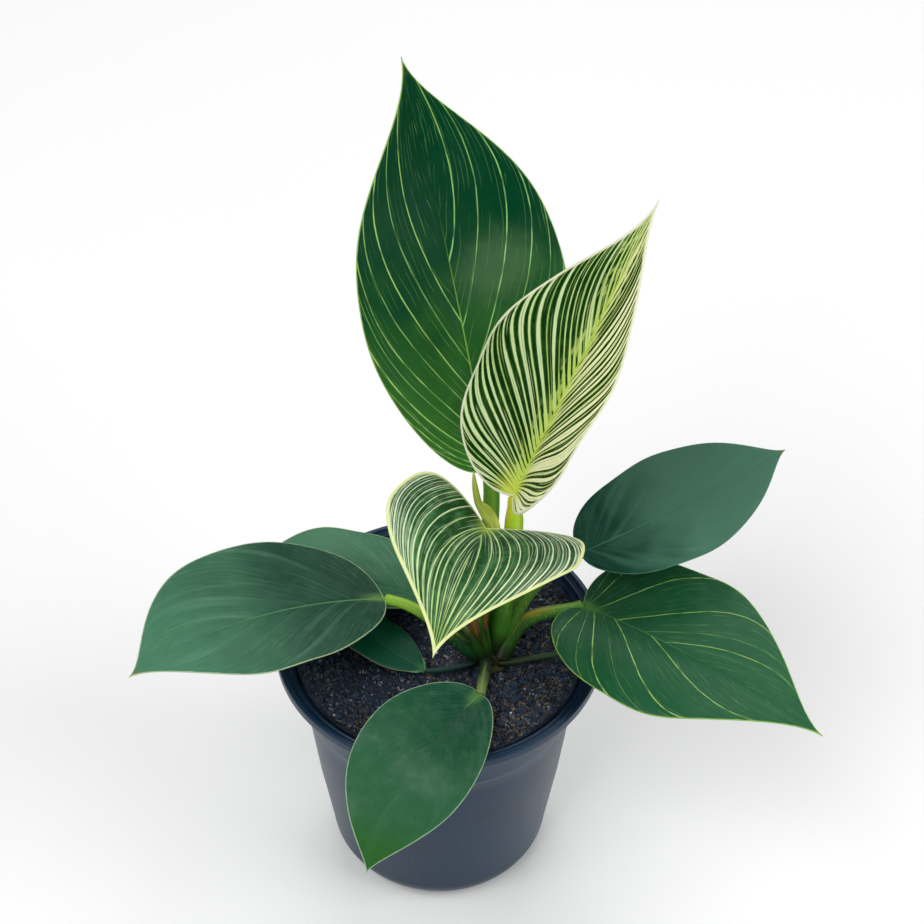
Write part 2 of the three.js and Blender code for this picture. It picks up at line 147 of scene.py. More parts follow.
class Paint:
    """A material under construction."""

    def __init__(self, name: str) -> None:
        """Starts an empty material with its Principled shader.

        Args:
            name: The material's name.
        """
        self.material = bpy.data.materials.new(name)
        self.material.use_nodes = True
        self.tree = self.material.node_tree
        self.shader = self.tree.nodes["Principled BSDF"]

    def node(
        self,
        kind: str,
        settings: dict[str, Any] | None = None,
        inputs: dict[str | int, Any] | None = None,
        output: str | int = 0,
    ) -> Wire:
        """Adds any node.

        Args:
            kind: The node's type.
            settings: Its properties.
            inputs: Values or wires for its sockets, by name or number.
            output: The output socket that is returned.

        Returns:
            The output as a wire.
        """
        made = self.tree.nodes.new(kind)
        for key, value in (settings or {}).items():
            setattr(made, key, value)
        for key, value in (inputs or {}).items():
            self.plug(made.inputs[key], value)
        return Wire(self, made.outputs[output])

    def plug(self, socket: bpy.types.NodeSocket, value: Any) -> None:
        """Links a wire to a socket, or sets the socket's own number, vector or written sRGB colour.

        Args:
            socket: The socket.
            value: What it gets.
        """
        if isinstance(value, Wire):
            self.tree.links.new(value.socket, socket)
        elif isinstance(value, str):
            socket.default_value = (*linear(value), 1)
        elif isinstance(value, tuple) and socket.type == "RGBA":
            socket.default_value = (*value, 1)
        else:
            socket.default_value = value

    def place(self) -> Wire:
        """The point's own place on the object, in metres."""
        return self.node("ShaderNodeTexCoord", output="Object")

    def reading(self, attribute: str) -> Wire:
        """A number stored on the mesh."""
        return self.node("ShaderNodeAttribute", {"attribute_name": attribute}, output="Fac")

    def noise(self, place: Wire, scale: float, detail: float = 2.0, rough: float = 0.5) -> Wire:
        """Smooth noise between 0 and 1."""
        sockets = {"Vector": place, "Scale": scale, "Detail": detail, "Roughness": rough}
        return self.node("ShaderNodeTexNoise", {}, sockets, "Fac")

    def pattern(self, x: Number, y: Number, z: Number, detail: float = 2.0, rough: float = 0.5) -> Wire:
        """Smooth noise between 0 and 1 over three numbers."""
        return self.noise(self.node("ShaderNodeCombineXYZ", {}, {0: x, 1: y, 2: z}), 1.0, detail, rough)

    def drawn_out(self, place: Wire, height: float) -> Wire:
        """A place whose height counts less, so that a pattern on it runs up and down."""
        return self.node("ShaderNodeMapping", {}, {"Vector": place, "Scale": (1.0, 1.0, height)})

    def mix(self, share: Number, first: Wire | str, second: Wire | str) -> Wire:
        """A colour between two others, which are wires or written sRGB colours."""
        sockets = {"Factor": share, 6: first, 7: second}
        return self.node("ShaderNodeMix", {"data_type": "RGBA"}, sockets, 2)

    def bump(self, height: Wire, depth: float, strength: float = 1.0) -> Wire:
        """A normal that is tilted by a height from 0 to 1, `depth` metres deep."""
        return self.node("ShaderNodeBump", {}, {"Height": height, "Distance": depth, "Strength": strength})

    def finish(self, sockets: dict[str, Any]) -> bpy.types.Material:
        """Fills the shader's sockets.

        Args:
            sockets: Wires and plain values by the name of the socket.

        Returns:
            The finished material.
        """
        for name, value in sockets.items():
            self.plug(self.shader.inputs[name], value)
        return self.material


# ------------------------------------------------------------------ mesh helpers


def deselect() -> None:
    """Clears the selection, so that the next operator acts on its own piece alone."""
    bpy.ops.object.select_all(action="DESELECT")


def work_on(piece: bpy.types.Object) -> bpy.types.Object:
    """Selects one piece and makes it active.

    Args:
        piece: The piece.

    Returns:
        The same piece.
    """
    deselect()
    piece.select_set(True)
    bpy.context.view_layer.objects.active = piece
    return piece


def named(piece: bpy.types.Object, name: str) -> bpy.types.Object:
    """Names a piece and its mesh.

    Args:
        piece: The piece.
        name: Its name.

    Returns:
        The same piece.
    """
    piece.name = name
    piece.data.name = name
    return piece


def settle(piece: bpy.types.Object) -> None:
    """Moves the piece's place, turn and scale into its mesh."""
    work_on(piece)
    bpy.ops.object.transform_apply(location=True, rotation=True, scale=True)


def smooth(piece: bpy.types.Object, degrees: float = 180.0) -> None:
    """Shades the piece smooth up to an angle between its faces."""
    work_on(piece)
    bpy.ops.object.shade_smooth_by_angle(angle=math.radians(degrees))


def places(piece: bpy.types.Object) -> np.ndarray:
    """The piece's vertices in millimetres, one row each.

    Args:
        piece: The piece.

    Returns:
        The places.
    """
    flat = np.empty(len(piece.data.vertices) * 3)
    piece.data.vertices.foreach_get("co", flat)
    return flat.reshape(-1, 3) / MM


def put(piece: bpy.types.Object, spots: np.ndarray) -> None:
    """Moves the piece's vertices to places in millimetres."""
    piece.data.vertices.foreach_set("co", (spots * MM).ravel())
    piece.data.update()


def note(piece: bpy.types.Object, attribute: str, values: np.ndarray) -> None:
    """Stores one number a vertex on the mesh, for the material to read."""
    layer = piece.data.attributes.new(attribute, "FLOAT", "POINT")
    layer.data.foreach_set("value", np.asarray(values, dtype=np.float32).ravel())


def readings(piece: bpy.types.Object, attribute: str) -> np.ndarray:
    """The numbers stored under one name, one a vertex.

    Args:
        piece: The piece.
        attribute: The name.

    Returns:
        The numbers.
    """
    values = np.empty(len(piece.data.vertices), dtype=np.float32)
    piece.data.attributes[attribute].data.foreach_get("value", values)
    return values.astype(float)


def modify(piece: bpy.types.Object, kind: str, **settings: Any) -> None:
    """Adds a modifier and applies it.

    Args:
        piece: The piece.
        kind: The modifier's type.
        settings: Its properties.
    """
    work_on(piece)
    modifier = piece.modifiers.new(kind.title(), kind)
    for key, value in settings.items():
        setattr(modifier, key, value)
    bpy.ops.object.modifier_apply(modifier=modifier.name)


def join(pieces: Sequence[bpy.types.Object], name: str) -> bpy.types.Object:
    """Joins several pieces in one.

    Args:
        pieces: The pieces, which are used up.
        name: The new piece's name.

    Returns:
        The joined piece.
    """
    deselect()
    for piece in pieces:
        piece.select_set(True)
    bpy.context.view_layer.objects.active = pieces[0]
    bpy.ops.object.join()
    return named(pieces[0], name)


@contextmanager
def editing(piece: bpy.types.Object, picked: np.ndarray | None = None) -> Iterator[None]:
    """Opens a piece in edit mode, with all its vertices selected or only the picked ones.

    Args:
        piece: The piece.
        picked: True for each vertex to select.

    Yields:
        Nothing, while the piece is open.
    """
    work_on(piece)
    bpy.ops.object.mode_set(mode="EDIT")
    bpy.ops.mesh.select_all(action="SELECT")
    if picked is not None:
        bpy.ops.mesh.select_mode(type="VERT")
        bpy.ops.mesh.select_all(action="DESELECT")
        bpy.ops.object.mode_set(mode="OBJECT")
        piece.data.vertices.foreach_set("select", picked)
        bpy.ops.object.mode_set(mode="EDIT")
    yield
    bpy.ops.object.mode_set(mode="OBJECT")


def turn_over(piece: bpy.types.Object) -> None:
    """Turns all the faces of a piece to their other side."""
    with editing(piece):
        bpy.ops.mesh.flip_normals()


def revolve(name: str, profile: Sequence[Pair], steps: int) -> bpy.types.Object:
    """Spins a closed profile round the Z axis and turns its faces outwards.

    Args:
        name: The piece's name.
        profile: Radii and heights in millimetres.
        steps: Faces round the axis.

    Returns:
        The closed piece.
    """
    deselect()
    bpy.ops.mesh.primitive_circle_add(vertices=len(profile), radius=1, location=(0, 0, 0))
    piece = named(bpy.context.active_object, name)
    put(piece, np.array([(radius, 0.0, height) for radius, height in profile]))
    with editing(piece):
        bpy.ops.mesh.spin(steps=steps, angle=2 * math.pi, center=(0, 0, 0), axis=(0, 0, 1), dupli=False)
        bpy.ops.mesh.select_all(action="SELECT")
        bpy.ops.mesh.remove_doubles(threshold=1e-6)
        bpy.ops.mesh.normals_make_consistent(inside=False)
    return piece


def dress(
    piece: bpy.types.Object, material: bpy.types.Material, slot: str, *replaced: str
) -> bpy.types.Object:
    """Gives a finished piece its material and body, and hides the frame's nodes that it stands for.

    Args:
        piece: The finished piece.
        material: Its material.
        slot: The record's material slot; not used.
        replaced: The frame's nodes that the piece stands for.

    Returns:
        The piece.
    """
    piece.data.materials.clear()
    piece.data.materials.append(material)
    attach(piece, BODY)
    if replaced:
        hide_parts(*replaced)
    LOG.info("%s: %d faces", piece.name, len(piece.data.polygons))
    return piece


def tube(
    name: str, path: np.ndarray, radii: np.ndarray, sides: int, flat: float = 1.0, groove: float = 0.0
) -> bpy.types.Object:
    """A closed round body along a path, from a bar whose rings are led along it.

    Args:
        name: The piece's name.
        path: Points along its axis in millimetres.
        radii: Its radius at each of them.
        sides: Faces round it.
        flat: Its height as a share of its width.
        groove: Depth of a channel along its upper side, as a share of its radius.

    Returns:
        The tube. "along" runs from 0 to 1 on it, "around" from 0 under it to 1 on top, and
        "beside" from 0 on its left to 1 on its right.
    """
    rings = len(path)
    groove_turn, least_side = 0.42, 0.3
    deselect()
    bpy.ops.mesh.primitive_cylinder_add(
        vertices=sides, radius=1, depth=1, end_fill_type="NGON", location=(0, 0, 0)
    )
    piece = named(bpy.context.active_object, name)
    bpy.ops.object.mode_set(mode="EDIT")
    bpy.ops.mesh.select_all(action="DESELECT")
    bpy.ops.object.mode_set(mode="OBJECT")
    for edge in piece.data.edges:
        first, second = (piece.data.vertices[i].co for i in edge.vertices)
        edge.select = abs(first.z - second.z) > 0.5
    bpy.ops.object.mode_set(mode="EDIT")
    bpy.ops.mesh.select_mode(type="EDGE")
    bpy.ops.mesh.subdivide(number_cuts=rings - 2)
    bpy.ops.object.mode_set(mode="OBJECT")
    spots = places(piece) * MM
    level = np.clip(np.rint((spots[:, 2] + 0.5) * (rings - 1)).astype(int), 0, rings - 1)
    turn = np.arctan2(spots[:, 1], spots[:, 0])
    tangent = np.gradient(path, axis=0)
    tangent /= np.linalg.norm(tangent, axis=1, keepdims=True)
    side = np.zeros_like(path)
    side[-1] = np.cross(tangent[-1], [0.0, 0.0, 1.0])
    if np.linalg.norm(side[-1]) < least_side:
        side[-1] = np.array([1.0, 0.0, 0.0])
    for i in range(rings - 1, -1, -1):
        before = side[min(i + 1, rings - 1)]
        side[i] = before - tangent[i] * np.dot(before, tangent[i])
        side[i] /= np.linalg.norm(side[i])
    upper = np.cross(side, tangent)
    radius = radii[level] * (1 - groove * np.exp(-((turn - math.pi / 2) / groove_turn) ** 2))
    put(piece, path[level]
        + side[level] * (radius * np.cos(turn))[:, None]
        + upper[level] * (radius * flat * np.sin(turn))[:, None])
    turn_over(piece)
    note(piece, "along", level / (rings - 1))
    note(piece, "around", (1 + np.sin(turn)) / 2)
    note(piece, "beside", (1 + np.cos(turn)) / 2)
    smooth(piece, 60)
    return piece


def bezier(points: Sequence[Sequence[float]], shares: np.ndarray) -> np.ndarray:
    """Points of a cubic Bezier curve.

    Args:
        points: Its four control points.
        shares: Parameters from 0 to 1.

    Returns:
        One row for each parameter.
    """
    a, b, c, d = (np.asarray(p, dtype=float) for p in points)
    t = shares[:, None]
    return (1 - t) ** 3 * a + 3 * (1 - t) ** 2 * t * b + 3 * (1 - t) * t * t * c + t ** 3 * d


# ------------------------------------------------------------------ leaf blades


@dataclass(frozen=True)
class Outline:
    """A half blade's margin in parts of its length and half width.

    Two curves meet at the widest place: the lobe's, and the shoulder's, which runs to the tip.
    """

    widest: float
    shoulder: float
    taper: float
    lobe_back: float
    lobe_out: float
    lobe_round: float


@dataclass(frozen=True)
class Veins:
    """How the side veins of a half blade leave the midrib and sweep to the margin.

    start_power and end_power spread the veins' two ends. The angle to the midrib falls from
    the foot to the tip. On a heart-shaped blade the first veins start on the lobe's own margin:
    lobe is the share of the margin that they start from, lobe_rows the share of the veins that
    do, and lobe_power spreads them.
    """

    start_power: float = 2.2
    end_power: float = 2.2
    foot_angle: float = 100.0
    tip_angle: float = 24.0
    angle_power: float = 4.0
    first_handle: float = 0.38
    last_handle: float = 0.35
    arrival: float = 12.0
    lobe: float = 0.0
    lobe_rows: float = 0.0
    lobe_power: float = 1.0


@dataclass(frozen=True)
class BladeShape:
    """Where a blade stands and how it bends. Lengths are in millimetres, angles in degrees.

    heading is the midrib's compass angle from +X, rise its angle above level and bank the turn
    about it, each with its change from foot to tip. fold is how far each half stands up at the
    foot and at the tip, and curl is its further bend, left and right.
    """

    foot: Point
    length: float
    half_width: Pair
    heading: Pair
    rise: Pair
    bank: Pair
    fold: Pair
    curl: Pair
    wave: float
    outline: Outline
    veins: tuple[Veins, Veins] = (Veins(), Veins())


class Hand(Enum):
    """The two halves of a blade, seen from its upper side with the tip away from the eye."""

    LEFT = 0
    RIGHT = 1


@dataclass(frozen=True)
class Surface:
    """The middle surface of one blade.

    Its midrib is worked out from behind to beyond, as shares of its length. On a lobed blade the
    veins leave the lobe's margin at lobe_angle and turn to the blade's own direction by the row
    free_row, and those before relax_row are evened out. From straight_row on, veins are straight.
    """

    shape: BladeShape
    behind: float = -0.3
    beyond: float = 1.05
    waves: float = 17.0
    margin_points: int = 500
    margin_skip: int = 3
    probe: float = 0.004
    lobe_angle: float = -30.0
    free_row: float = 0.45
    straight_row: float = 0.72
    straight_rows: float = 0.2
    relax_row: float = 0.4
    relax_rows: float = 0.1
    relax_rounds: int = 24

    def tangent(self, share: np.ndarray) -> np.ndarray:
        """Direction of the midrib at shares of its length.

        Args:
            share: The shares.

        Returns:
            Unit directions.
        """
        heading = np.radians(self.shape.heading[0] + self.shape.heading[1] * share)
        rise = np.radians(self.shape.rise[0] + self.shape.rise[1] * share)
        level = np.cos(rise)
        return np.stack([level * np.cos(heading), level * np.sin(heading), np.sin(rise)], axis=-1)

    def midrib(self, along: np.ndarray) -> tuple[np.ndarray, np.ndarray, np.ndarray]:
        """The midrib's points and the blade's side and up directions.

        Args:
            along: Distances from the foot, negative in the lobes behind it.

        Returns:
            Points, side directions and up directions.
        """
        shape = self.shape
        grid = np.linspace(self.behind, self.beyond, 1351) * shape.length
        steps = self.tangent((grid[1:] + grid[:-1]) / 2 / shape.length) * (grid[1] - grid[0])
        line = np.vstack([np.zeros(3), np.cumsum(steps, axis=0)])
        origin = np.array([np.interp(0.0, grid, line[:, k]) for k in range(3)])
        line = line - origin + np.array(shape.foot)
        place = np.stack([np.interp(along, grid, line[:, k]) for k in range(3)], axis=-1)
        share = along / shape.length
        heading = np.radians(shape.heading[0] + shape.heading[1] * share)
        level_side = np.stack([np.sin(heading), -np.cos(heading), np.zeros_like(heading)], axis=-1)
        level_up = np.cross(level_side, self.tangent(share))
        bank = np.radians(shape.bank[0] + shape.bank[1] * share)[:, None]
        side = level_side * np.cos(bank) + level_up * np.sin(bank)
        up = level_up * np.cos(bank) - level_side * np.sin(bank)
        return place, side, up

    def point(self, hand: Hand, along: np.ndarray, out: np.ndarray) -> np.ndarray:
        """Points of the surface.

        Args:
            hand: The half blade.
            along: Distances along the midrib.
            out: Distances from the midrib on the flattened half.

        Returns:
            Points in millimetres.
        """
        shape = self.shape
        place, side, up = self.midrib(along)
        share = np.clip(along / shape.length, 0, 1)
        fold = np.radians(shape.fold[0] + (shape.fold[1] - shape.fold[0]) * share)
        half = shape.half_width[hand.value]
        bend = (math.radians(shape.curl[hand.value]) or 1e-5) / half
        across = (np.sin(fold + bend * out) - np.sin(fold)) / bend
        ripple = np.sin(along / shape.length * self.waves + hand.value * 2.1)
        lift = (np.cos(fold) - np.cos(fold + bend * out)) / bend + shape.wave * (out / half) ** 2 * ripple
        sign = 1 if hand is Hand.RIGHT else -1
        return place + side * (sign * across)[:, None] + up * lift[:, None]

    def margin(self, hand: Hand) -> tuple[np.ndarray, np.ndarray]:
        """The flattened half blade's margin.

        Args:
            hand: The half blade.

        Returns:
            Its points and their distances along it, as shares.
        """
        line = self.shape.outline
        scale = np.array([self.shape.length, self.shape.half_width[hand.value]])
        share = np.linspace(0, 1, self.margin_points)
        lobe = [(0, 0), (-line.lobe_back, line.lobe_out), (-line.lobe_round, 1), (line.widest, 1)]
        blade = [(line.widest, 1), (line.widest + line.shoulder, 1), (1 - line.taper, 0.07), (1, 0)]
        points = np.vstack([bezier(lobe, share), bezier(blade, share)[1:]]) * scale
        reach = np.concatenate([[0], np.cumsum(np.hypot(*np.diff(points, axis=0).T))])
        return points, reach / reach[-1]

    def vein(self, hand: Hand, row: np.ndarray, out: np.ndarray) -> np.ndarray:
        """Flat places on the side veins.

        Args:
            hand: The half blade.
            row: The veins, from 0 at the foot to 1 at the tip.
            out: Shares of the way along a vein to the margin.

        Returns:
            Distances along and out from the midrib, for each vein and share.
        """
        veins = self.shape.veins[hand.value]
        points, reach = self.margin(hand)

        def edge(share: np.ndarray) -> np.ndarray:
            """The margin's points at shares of its length."""
            return np.stack([np.interp(share, reach, points[:, k]) for k in (0, 1)], axis=-1)

        def heading(share: np.ndarray, degrees: float) -> np.ndarray:
            """The margin's directions at shares of its length, turned by an angle.

            Args:
                share: The shares.
                degrees: The angle.

            Returns:
                Unit directions.
            """
            way = edge(np.clip(share + self.probe, 0, 1)) - edge(np.clip(share - self.probe, 0, 1))
            way /= np.linalg.norm(way, axis=-1, keepdims=True) + 1e-9
            cos, sin = math.cos(math.radians(degrees)), math.sin(math.radians(degrees))
            return way @ np.array([[cos, sin], [-sin, cos]])

        row = row[:, None] * np.ones_like(out)[None, :]
        along = np.clip((row - veins.lobe_rows) / (1 - veins.lobe_rows), 0, 1) ** veins.start_power
        lobe = veins.lobe * np.clip(1 - row / max(veins.lobe_rows, 1e-6), 0, 1) ** veins.lobe_power
        begin = edge(lobe) + np.stack([along * self.shape.length, np.zeros_like(along)], axis=-1)
        stop = veins.lobe + (1 - veins.lobe) * (1 - (1 - row) ** veins.end_power)
        end = edge(stop)
        span = np.linalg.norm(end - begin, axis=-1, keepdims=True)
        angle = np.radians(
            veins.tip_angle + (veins.foot_angle - veins.tip_angle) * (1 - row) ** veins.angle_power
        )
        leave = np.stack([np.cos(angle), np.sin(angle)], axis=-1)
        if veins.lobe_rows:
            free = self.ease(row / self.free_row)[..., None]
            leave = heading(lobe, self.lobe_angle) * (1 - free) + leave * free
            leave /= np.linalg.norm(leave, axis=-1, keepdims=True)
        first = begin + veins.first_handle * span * leave
        last = end - veins.last_handle * span * heading(stop, veins.arrival)
        straight = self.ease((row - self.straight_row) / self.straight_rows)[..., None]
        first += (begin + veins.first_handle * (end - begin) - first) * straight
        last += (end - veins.last_handle * (end - begin) - last) * straight
        t = np.broadcast_to(out[None, :, None], (*row.shape, 1))
        flat = (1 - t) ** 3 * begin + 3 * (1 - t) ** 2 * t * first
        flat = flat + 3 * (1 - t) * t * t * last + t ** 3 * end
        if veins.lobe_rows:
            share = 0.5 * np.clip((self.relax_row - row[1:-1, 1:-1, None]) / self.relax_rows, 0, 1)
            for _ in range(self.relax_rounds):
                even = (flat[:-2, 1:-1] + flat[2:, 1:-1]) / 2
                flat[1:-1, 1:-1] += share * (even - flat[1:-1, 1:-1])
        return flat

    @staticmethod
    def ease(share: np.ndarray) -> np.ndarray:
        """A smooth step from 0 to 1."""
        share = np.clip(share, 0, 1)
        return share * share * (3 - 2 * share)

    def edge_distance(self, hand: Hand, flat: np.ndarray) -> np.ndarray:
        """Distances in millimetres from flat places to the margin.

        Args:
            hand: The half blade.
            flat: Distances along and out from the midrib.

        Returns:
            The distances to the margin.
        """
        points = self.margin(hand)[0][::self.margin_skip]
        best = np.full(len(flat), 1e9)
        for start, end in zip(points[:-1], points[1:]):
            way = end - start
            share = np.clip(((flat - start) @ way) / (way @ way + 1e-12), 0, 1)
            best = np.minimum(best, np.hypot(*(flat - start - share[:, None] * way).T))
        return best


# Half a single line's greatest width, as a share of the way along the veins
LINE_SHARE = 0.011

DUST_COLOUR = "93aaa0"
SHEEN_COLOUR = "9cbc88"
SHEEN_REACH = (0.016, 0.012)
UNDER_STREAK = "7d9f70"


@dataclass(frozen=True)
class LeafFinish:
    """The colours and markings of one blade. Colours are written in sRGB, widths in millimetres.

    The green goes from deep at the foot to green further out over the shares in fade; where deep is
    the darker, it is partly the blade's own tone and partly painted shade near the crown. lines are
    the places and strengths of single veins that stand out, on the left and right half. close
    is how many close stripes cross a half blade, cream the share of it that they cover, ragged
    how uneven they are, and merge and feather how far they flow together at the midrib. hairs is
    how many finer lines there are between and hair_breaks how often one breaks off. broken is how
    much the single lines fade in places, and outer how much they widen towards the margin. warmth
    is how far they lean to the midrib's colour beside it, and pale what the lines of the right
    half lean to. sheen is the middle of a patch of painted sheen, pale where light is reflected,
    and sheen_bands how strongly broad streaks of painted sheen lie along the veins.
    """

    deep: str = "0d4030"
    green: str = "1c5a40"
    light: str = "2f6e4c"
    line: str = "8fbf55"
    pale: str = "8fbf55"
    margin: str = "8fae62"
    rib: str = "5f9440"
    foot: str = "5f8f38"
    tip: str = "6b6a2c"
    under: str = "5d8459"
    fade: Pair = (0.05, 0.6)
    close: float = 0.0
    cream: float = 0.5
    ragged: float = 0.5
    merge: float = 0.0
    feather: float = 0.8
    sheen: Point = (0.0, 0.0, 0.0)
    hairs: float = 34.0
    hair_width: float = 0.2
    hair_breaks: float = 4.0
    fine: float = 0.35
    lines: tuple[tuple[Pair, ...], tuple[Pair, ...]] = ((), ())
    line_width: float = 0.25
    broken: float = 0.75
    outer: float = 0.0
    warmth: float = 0.0
    margin_width: float = 0.35
    rib_width: float = 0.4
    rib_reach: float = 0.6
    tip_reach: float = 0.045
    foot_width: float = 3.5
    dust: float = 0.2
    roughness: float = 0.4
    gloss: float = 0.12
    mottle: float = 0.2
    sheen_bands: float = 0.3
    seed: float = 0.0


class LeafPaint:
    """Builds the material of a blade from its finish and the numbers stored on its mesh."""

    def __init__(self, name: str, finish: LeafFinish) -> None:
        """Starts the material and reads the blade's own coordinates.

        Args:
            name: The material's name.
            finish: The blade's colours and markings.
        """
        self.finish = finish
        self.paint = paint = Paint(name)
        self.vein, self.out, self.edge, self.rib, self.pitch, self.hand, self.upper, self.along = (
            paint.reading(stored)
            for stored in ("vein", "out", "edge", "rib", "pitch", "hand", "upper", "along")
        )
        self.place = paint.place()
        self.mottle = paint.noise(self.place, 240, 4, 0.6)
        self.streak = paint.pattern(self.vein * 80, self.out * 3, finish.seed, 2, 0.6)

    def lines(self) -> Wire:
        """Where the single light lines lie, from 0 to 1.

        Returns:
            The mask.
        """
        finish, paint, vein, out = self.finish, self.paint, self.vein, self.out
        wobble = paint.pattern(vein * 7, out * 4, finish.seed, 3, 0.6)
        bent = vein + (wobble - 0.5) * 0.010
        scale = self.pitch / finish.line_width / (1 + out.step(0.35, 0.9) * finish.outer)
        scale = scale.above(1 / LINE_SHARE)
        mask: Number = 0.0
        for half, lines in zip((1 - self.hand, self.hand), finish.lines):
            sheet: Number = 0.0
            for place, strength in lines:
                line = 1 - (bent - place).size() * scale / (0.7 + 0.5 * strength)
                sheet = (line.above(0.0) * strength).above(sheet)
            mask = sheet * half + mask
        broken = paint.pattern(vein * 30, out * 9, finish.seed + 4, 1).step(0.3, 0.6)
        return mask * (1 - finish.broken * (1 - broken))

    def hair_lines(self) -> Wire:
        """Fine broken lines along the veins, from 0 to 1.

        Returns:
            The mask.
        """
        finish, paint, vein, out = self.finish, self.paint, self.vein, self.out
        shift = self.hand * 5.1 + finish.seed
        sway = paint.pattern(vein * 8, out * 2, shift) - 0.5
        turns = vein * finish.hairs + sway * 3
        middle = (turns.fraction() - 0.5).size() * self.pitch / finish.hairs
        gate = paint.pattern(vein * finish.hairs, out * finish.hair_breaks, shift + 2, 2, 0.6)
        fine = middle.step(finish.hair_width, finish.hair_width * 0.2) * self.pitch.step(6.0, 30.0)
        return fine * gate.step(0.44, 0.62)

    def close_stripes(self) -> tuple[Wire, Wire, Wire]:
        """Close cream stripes along the veins, which swell, fade and split.

        Returns:
            The stripes, their softer green borders and each stripe's own number, from 0 to 1.
        """
        finish, paint, vein, out, hand = self.finish, self.paint, self.vein, self.out, self.hand
        shift = hand * 7.3 + finish.seed
        sway = paint.pattern(vein * 5, out * 0.8, shift, 1) - 0.5
        foot, tip = 1 - vein, (vein - 0.5).above(0.0)
        warp = foot * foot * foot * (0.08 + hand * 0.14) + tip * tip * (0.15 + hand * 0.4)
        turns = (vein - warp) * finish.close + sway * 2.4
        number = {"W": turns - turns.fraction() + shift}
        own = paint.node("ShaderNodeTexWhiteNoise", {"noise_dimensions": "1D"}, number)
        swell = paint.pattern(vein * finish.close * 0.9, out * 1.8, shift + 3, 1, 0.5) - 0.5
        grit = paint.pattern(vein * finish.close * 3, out * 14, shift + 6) - 0.5
        share = finish.cream / 2 * (1 + hand * 0.6) * (0.4 + 1.05 * own)
        share = share * (1 + vein.step(0.35, 0.0) * 0.35 - vein.step(0.55, 1.0) * 0.3)
        width = share * (1 + swell * 3.0 * finish.ragged)
        middle = (turns.fraction() - 0.5).size()
        merge = self.rib.step(6.0 - hand * 2.0, 0.8) * finish.merge
        band = width - middle + grit * 0.22 * finish.ragged + merge
        split = middle.step(0.05, 0.015) * swell.step(0.02, 0.14)
        thread = (0.5 - middle).step(0.075, 0.03) * swell.step(-0.05, -0.15)
        flow = paint.pattern(vein * finish.close * 0.7, out * 9, shift + 5, 2, 0.6)
        feather = flow.step(0.5, 0.62) * self.rib.step(7.0, 2.0) * finish.feather
        stripes = (band.step(-0.02, 0.06) * (1 - split * 0.85)).above(thread * 0.6).above(feather)
        return stripes, band.step(hand * 0.08 - 0.15, 0.0), own

    def greens(self) -> Wire:
        """The blade's greens, with mottling, broad streaks of painted sheen and hairs along the veins.

        Returns:
            The colour.
        """
        finish, paint = self.finish, self.paint
        cloud = paint.noise(self.place, 55, 3)
        sheen_bands = paint.pattern(self.vein * 13, self.out * 0.9, finish.seed + self.hand * 4, 1)
        # From deep at the foot to green: partly the blade's own tone and, where deep is the darker, partly
        # painted shade near the crown.
        fade = (self.along + (cloud - 0.5) * 0.5).step(*finish.fade)
        colour = paint.mix(fade, finish.deep, finish.green)
        colour = paint.mix(self.mottle.step(0.4, 0.8) * finish.mottle, colour, finish.light)
        colour = paint.mix(self.streak.step(0.5, 0.8) * 0.22, colour, finish.light)
        # Painted sheen: broad pale streaks of reflected light along the veins.
        colour = paint.mix(sheen_bands.step(0.5, 0.75) * finish.sheen_bands, colour, finish.light)
        if finish.fine:
            colour = paint.mix(self.hair_lines() * finish.fine, colour, finish.line)
        return colour

    def striped(self, colour: Wire) -> Wire:
        """Lays the close cream stripes over the greens.

        Args:
            colour: The greens.

        Returns:
            The new colour.
        """
        finish, paint, hand = self.finish, self.paint, self.hand
        stripes, border, own = self.close_stripes()
        warm = self.rib.step(11.0, 0.5) * self.along.step(1.2, 0.1)
        cream = paint.mix(hand * 0.8, finish.line, finish.pale)
        cream = paint.mix(warm * 0.7, cream, finish.rib)
        cream = paint.mix(own.step(0.7, 0.1) * 0.5, cream, finish.rib)
        faded = self.streak.step(0.5, 0.8) * 0.3 + own.step(0.4, 0.0) * 0.2
        cream = paint.mix(faded * (1 - hand * 0.5), cream, finish.light)
        colour = paint.mix(border * (0.8 - hand * 0.2), colour, finish.light)
        return paint.mix(stripes, colour, cream)

    def lined(self, colour: Wire) -> Wire:
        """Draws the single light lines over the greens.

        Args:
            colour: The greens.

        Returns:
            The new colour.
        """
        finish, paint, along, rib = self.finish, self.paint, self.along, self.rib
        ends = along.step(0.6, 0.92).above(along.step(0.12, 0.0) * rib.step(9.0, 2.0)) * 0.8
        ink = paint.mix(self.hand * 0.8, finish.line, finish.pale)
        ink = paint.mix(ends, ink, finish.rib)
        ink = paint.mix(rib.step(26.0, 4.0) * finish.warmth, ink, finish.rib)
        return paint.mix((self.lines() * 1.5).below(1.0), colour, ink)

    def shone(self, colour: Wire) -> Wire:
        """Adds the painted sheen: a pale patch where light is reflected.

        Args:
            colour: The colour so far.

        Returns:
            The new colour.
        """
        paint, (width, height) = self.paint, SHEEN_REACH
        middle = tuple(-c * MM / r for c, r in zip(self.finish.sheen, (width, 1.0, height)))
        sockets = {"Vector": self.place, "Location": middle, "Scale": (1 / width, 0.0, 1 / height)}
        away = paint.node("ShaderNodeMapping", {}, sockets)
        reach = paint.node("ShaderNodeVectorMath", {"operation": "LENGTH"}, {0: away}, "Value")
        # Painted sheen: a soft pale oval round the given middle.
        return paint.mix((reach + self.mottle * 0.6).step(1.4, 0.6) * 0.12, colour, SHEEN_COLOUR)

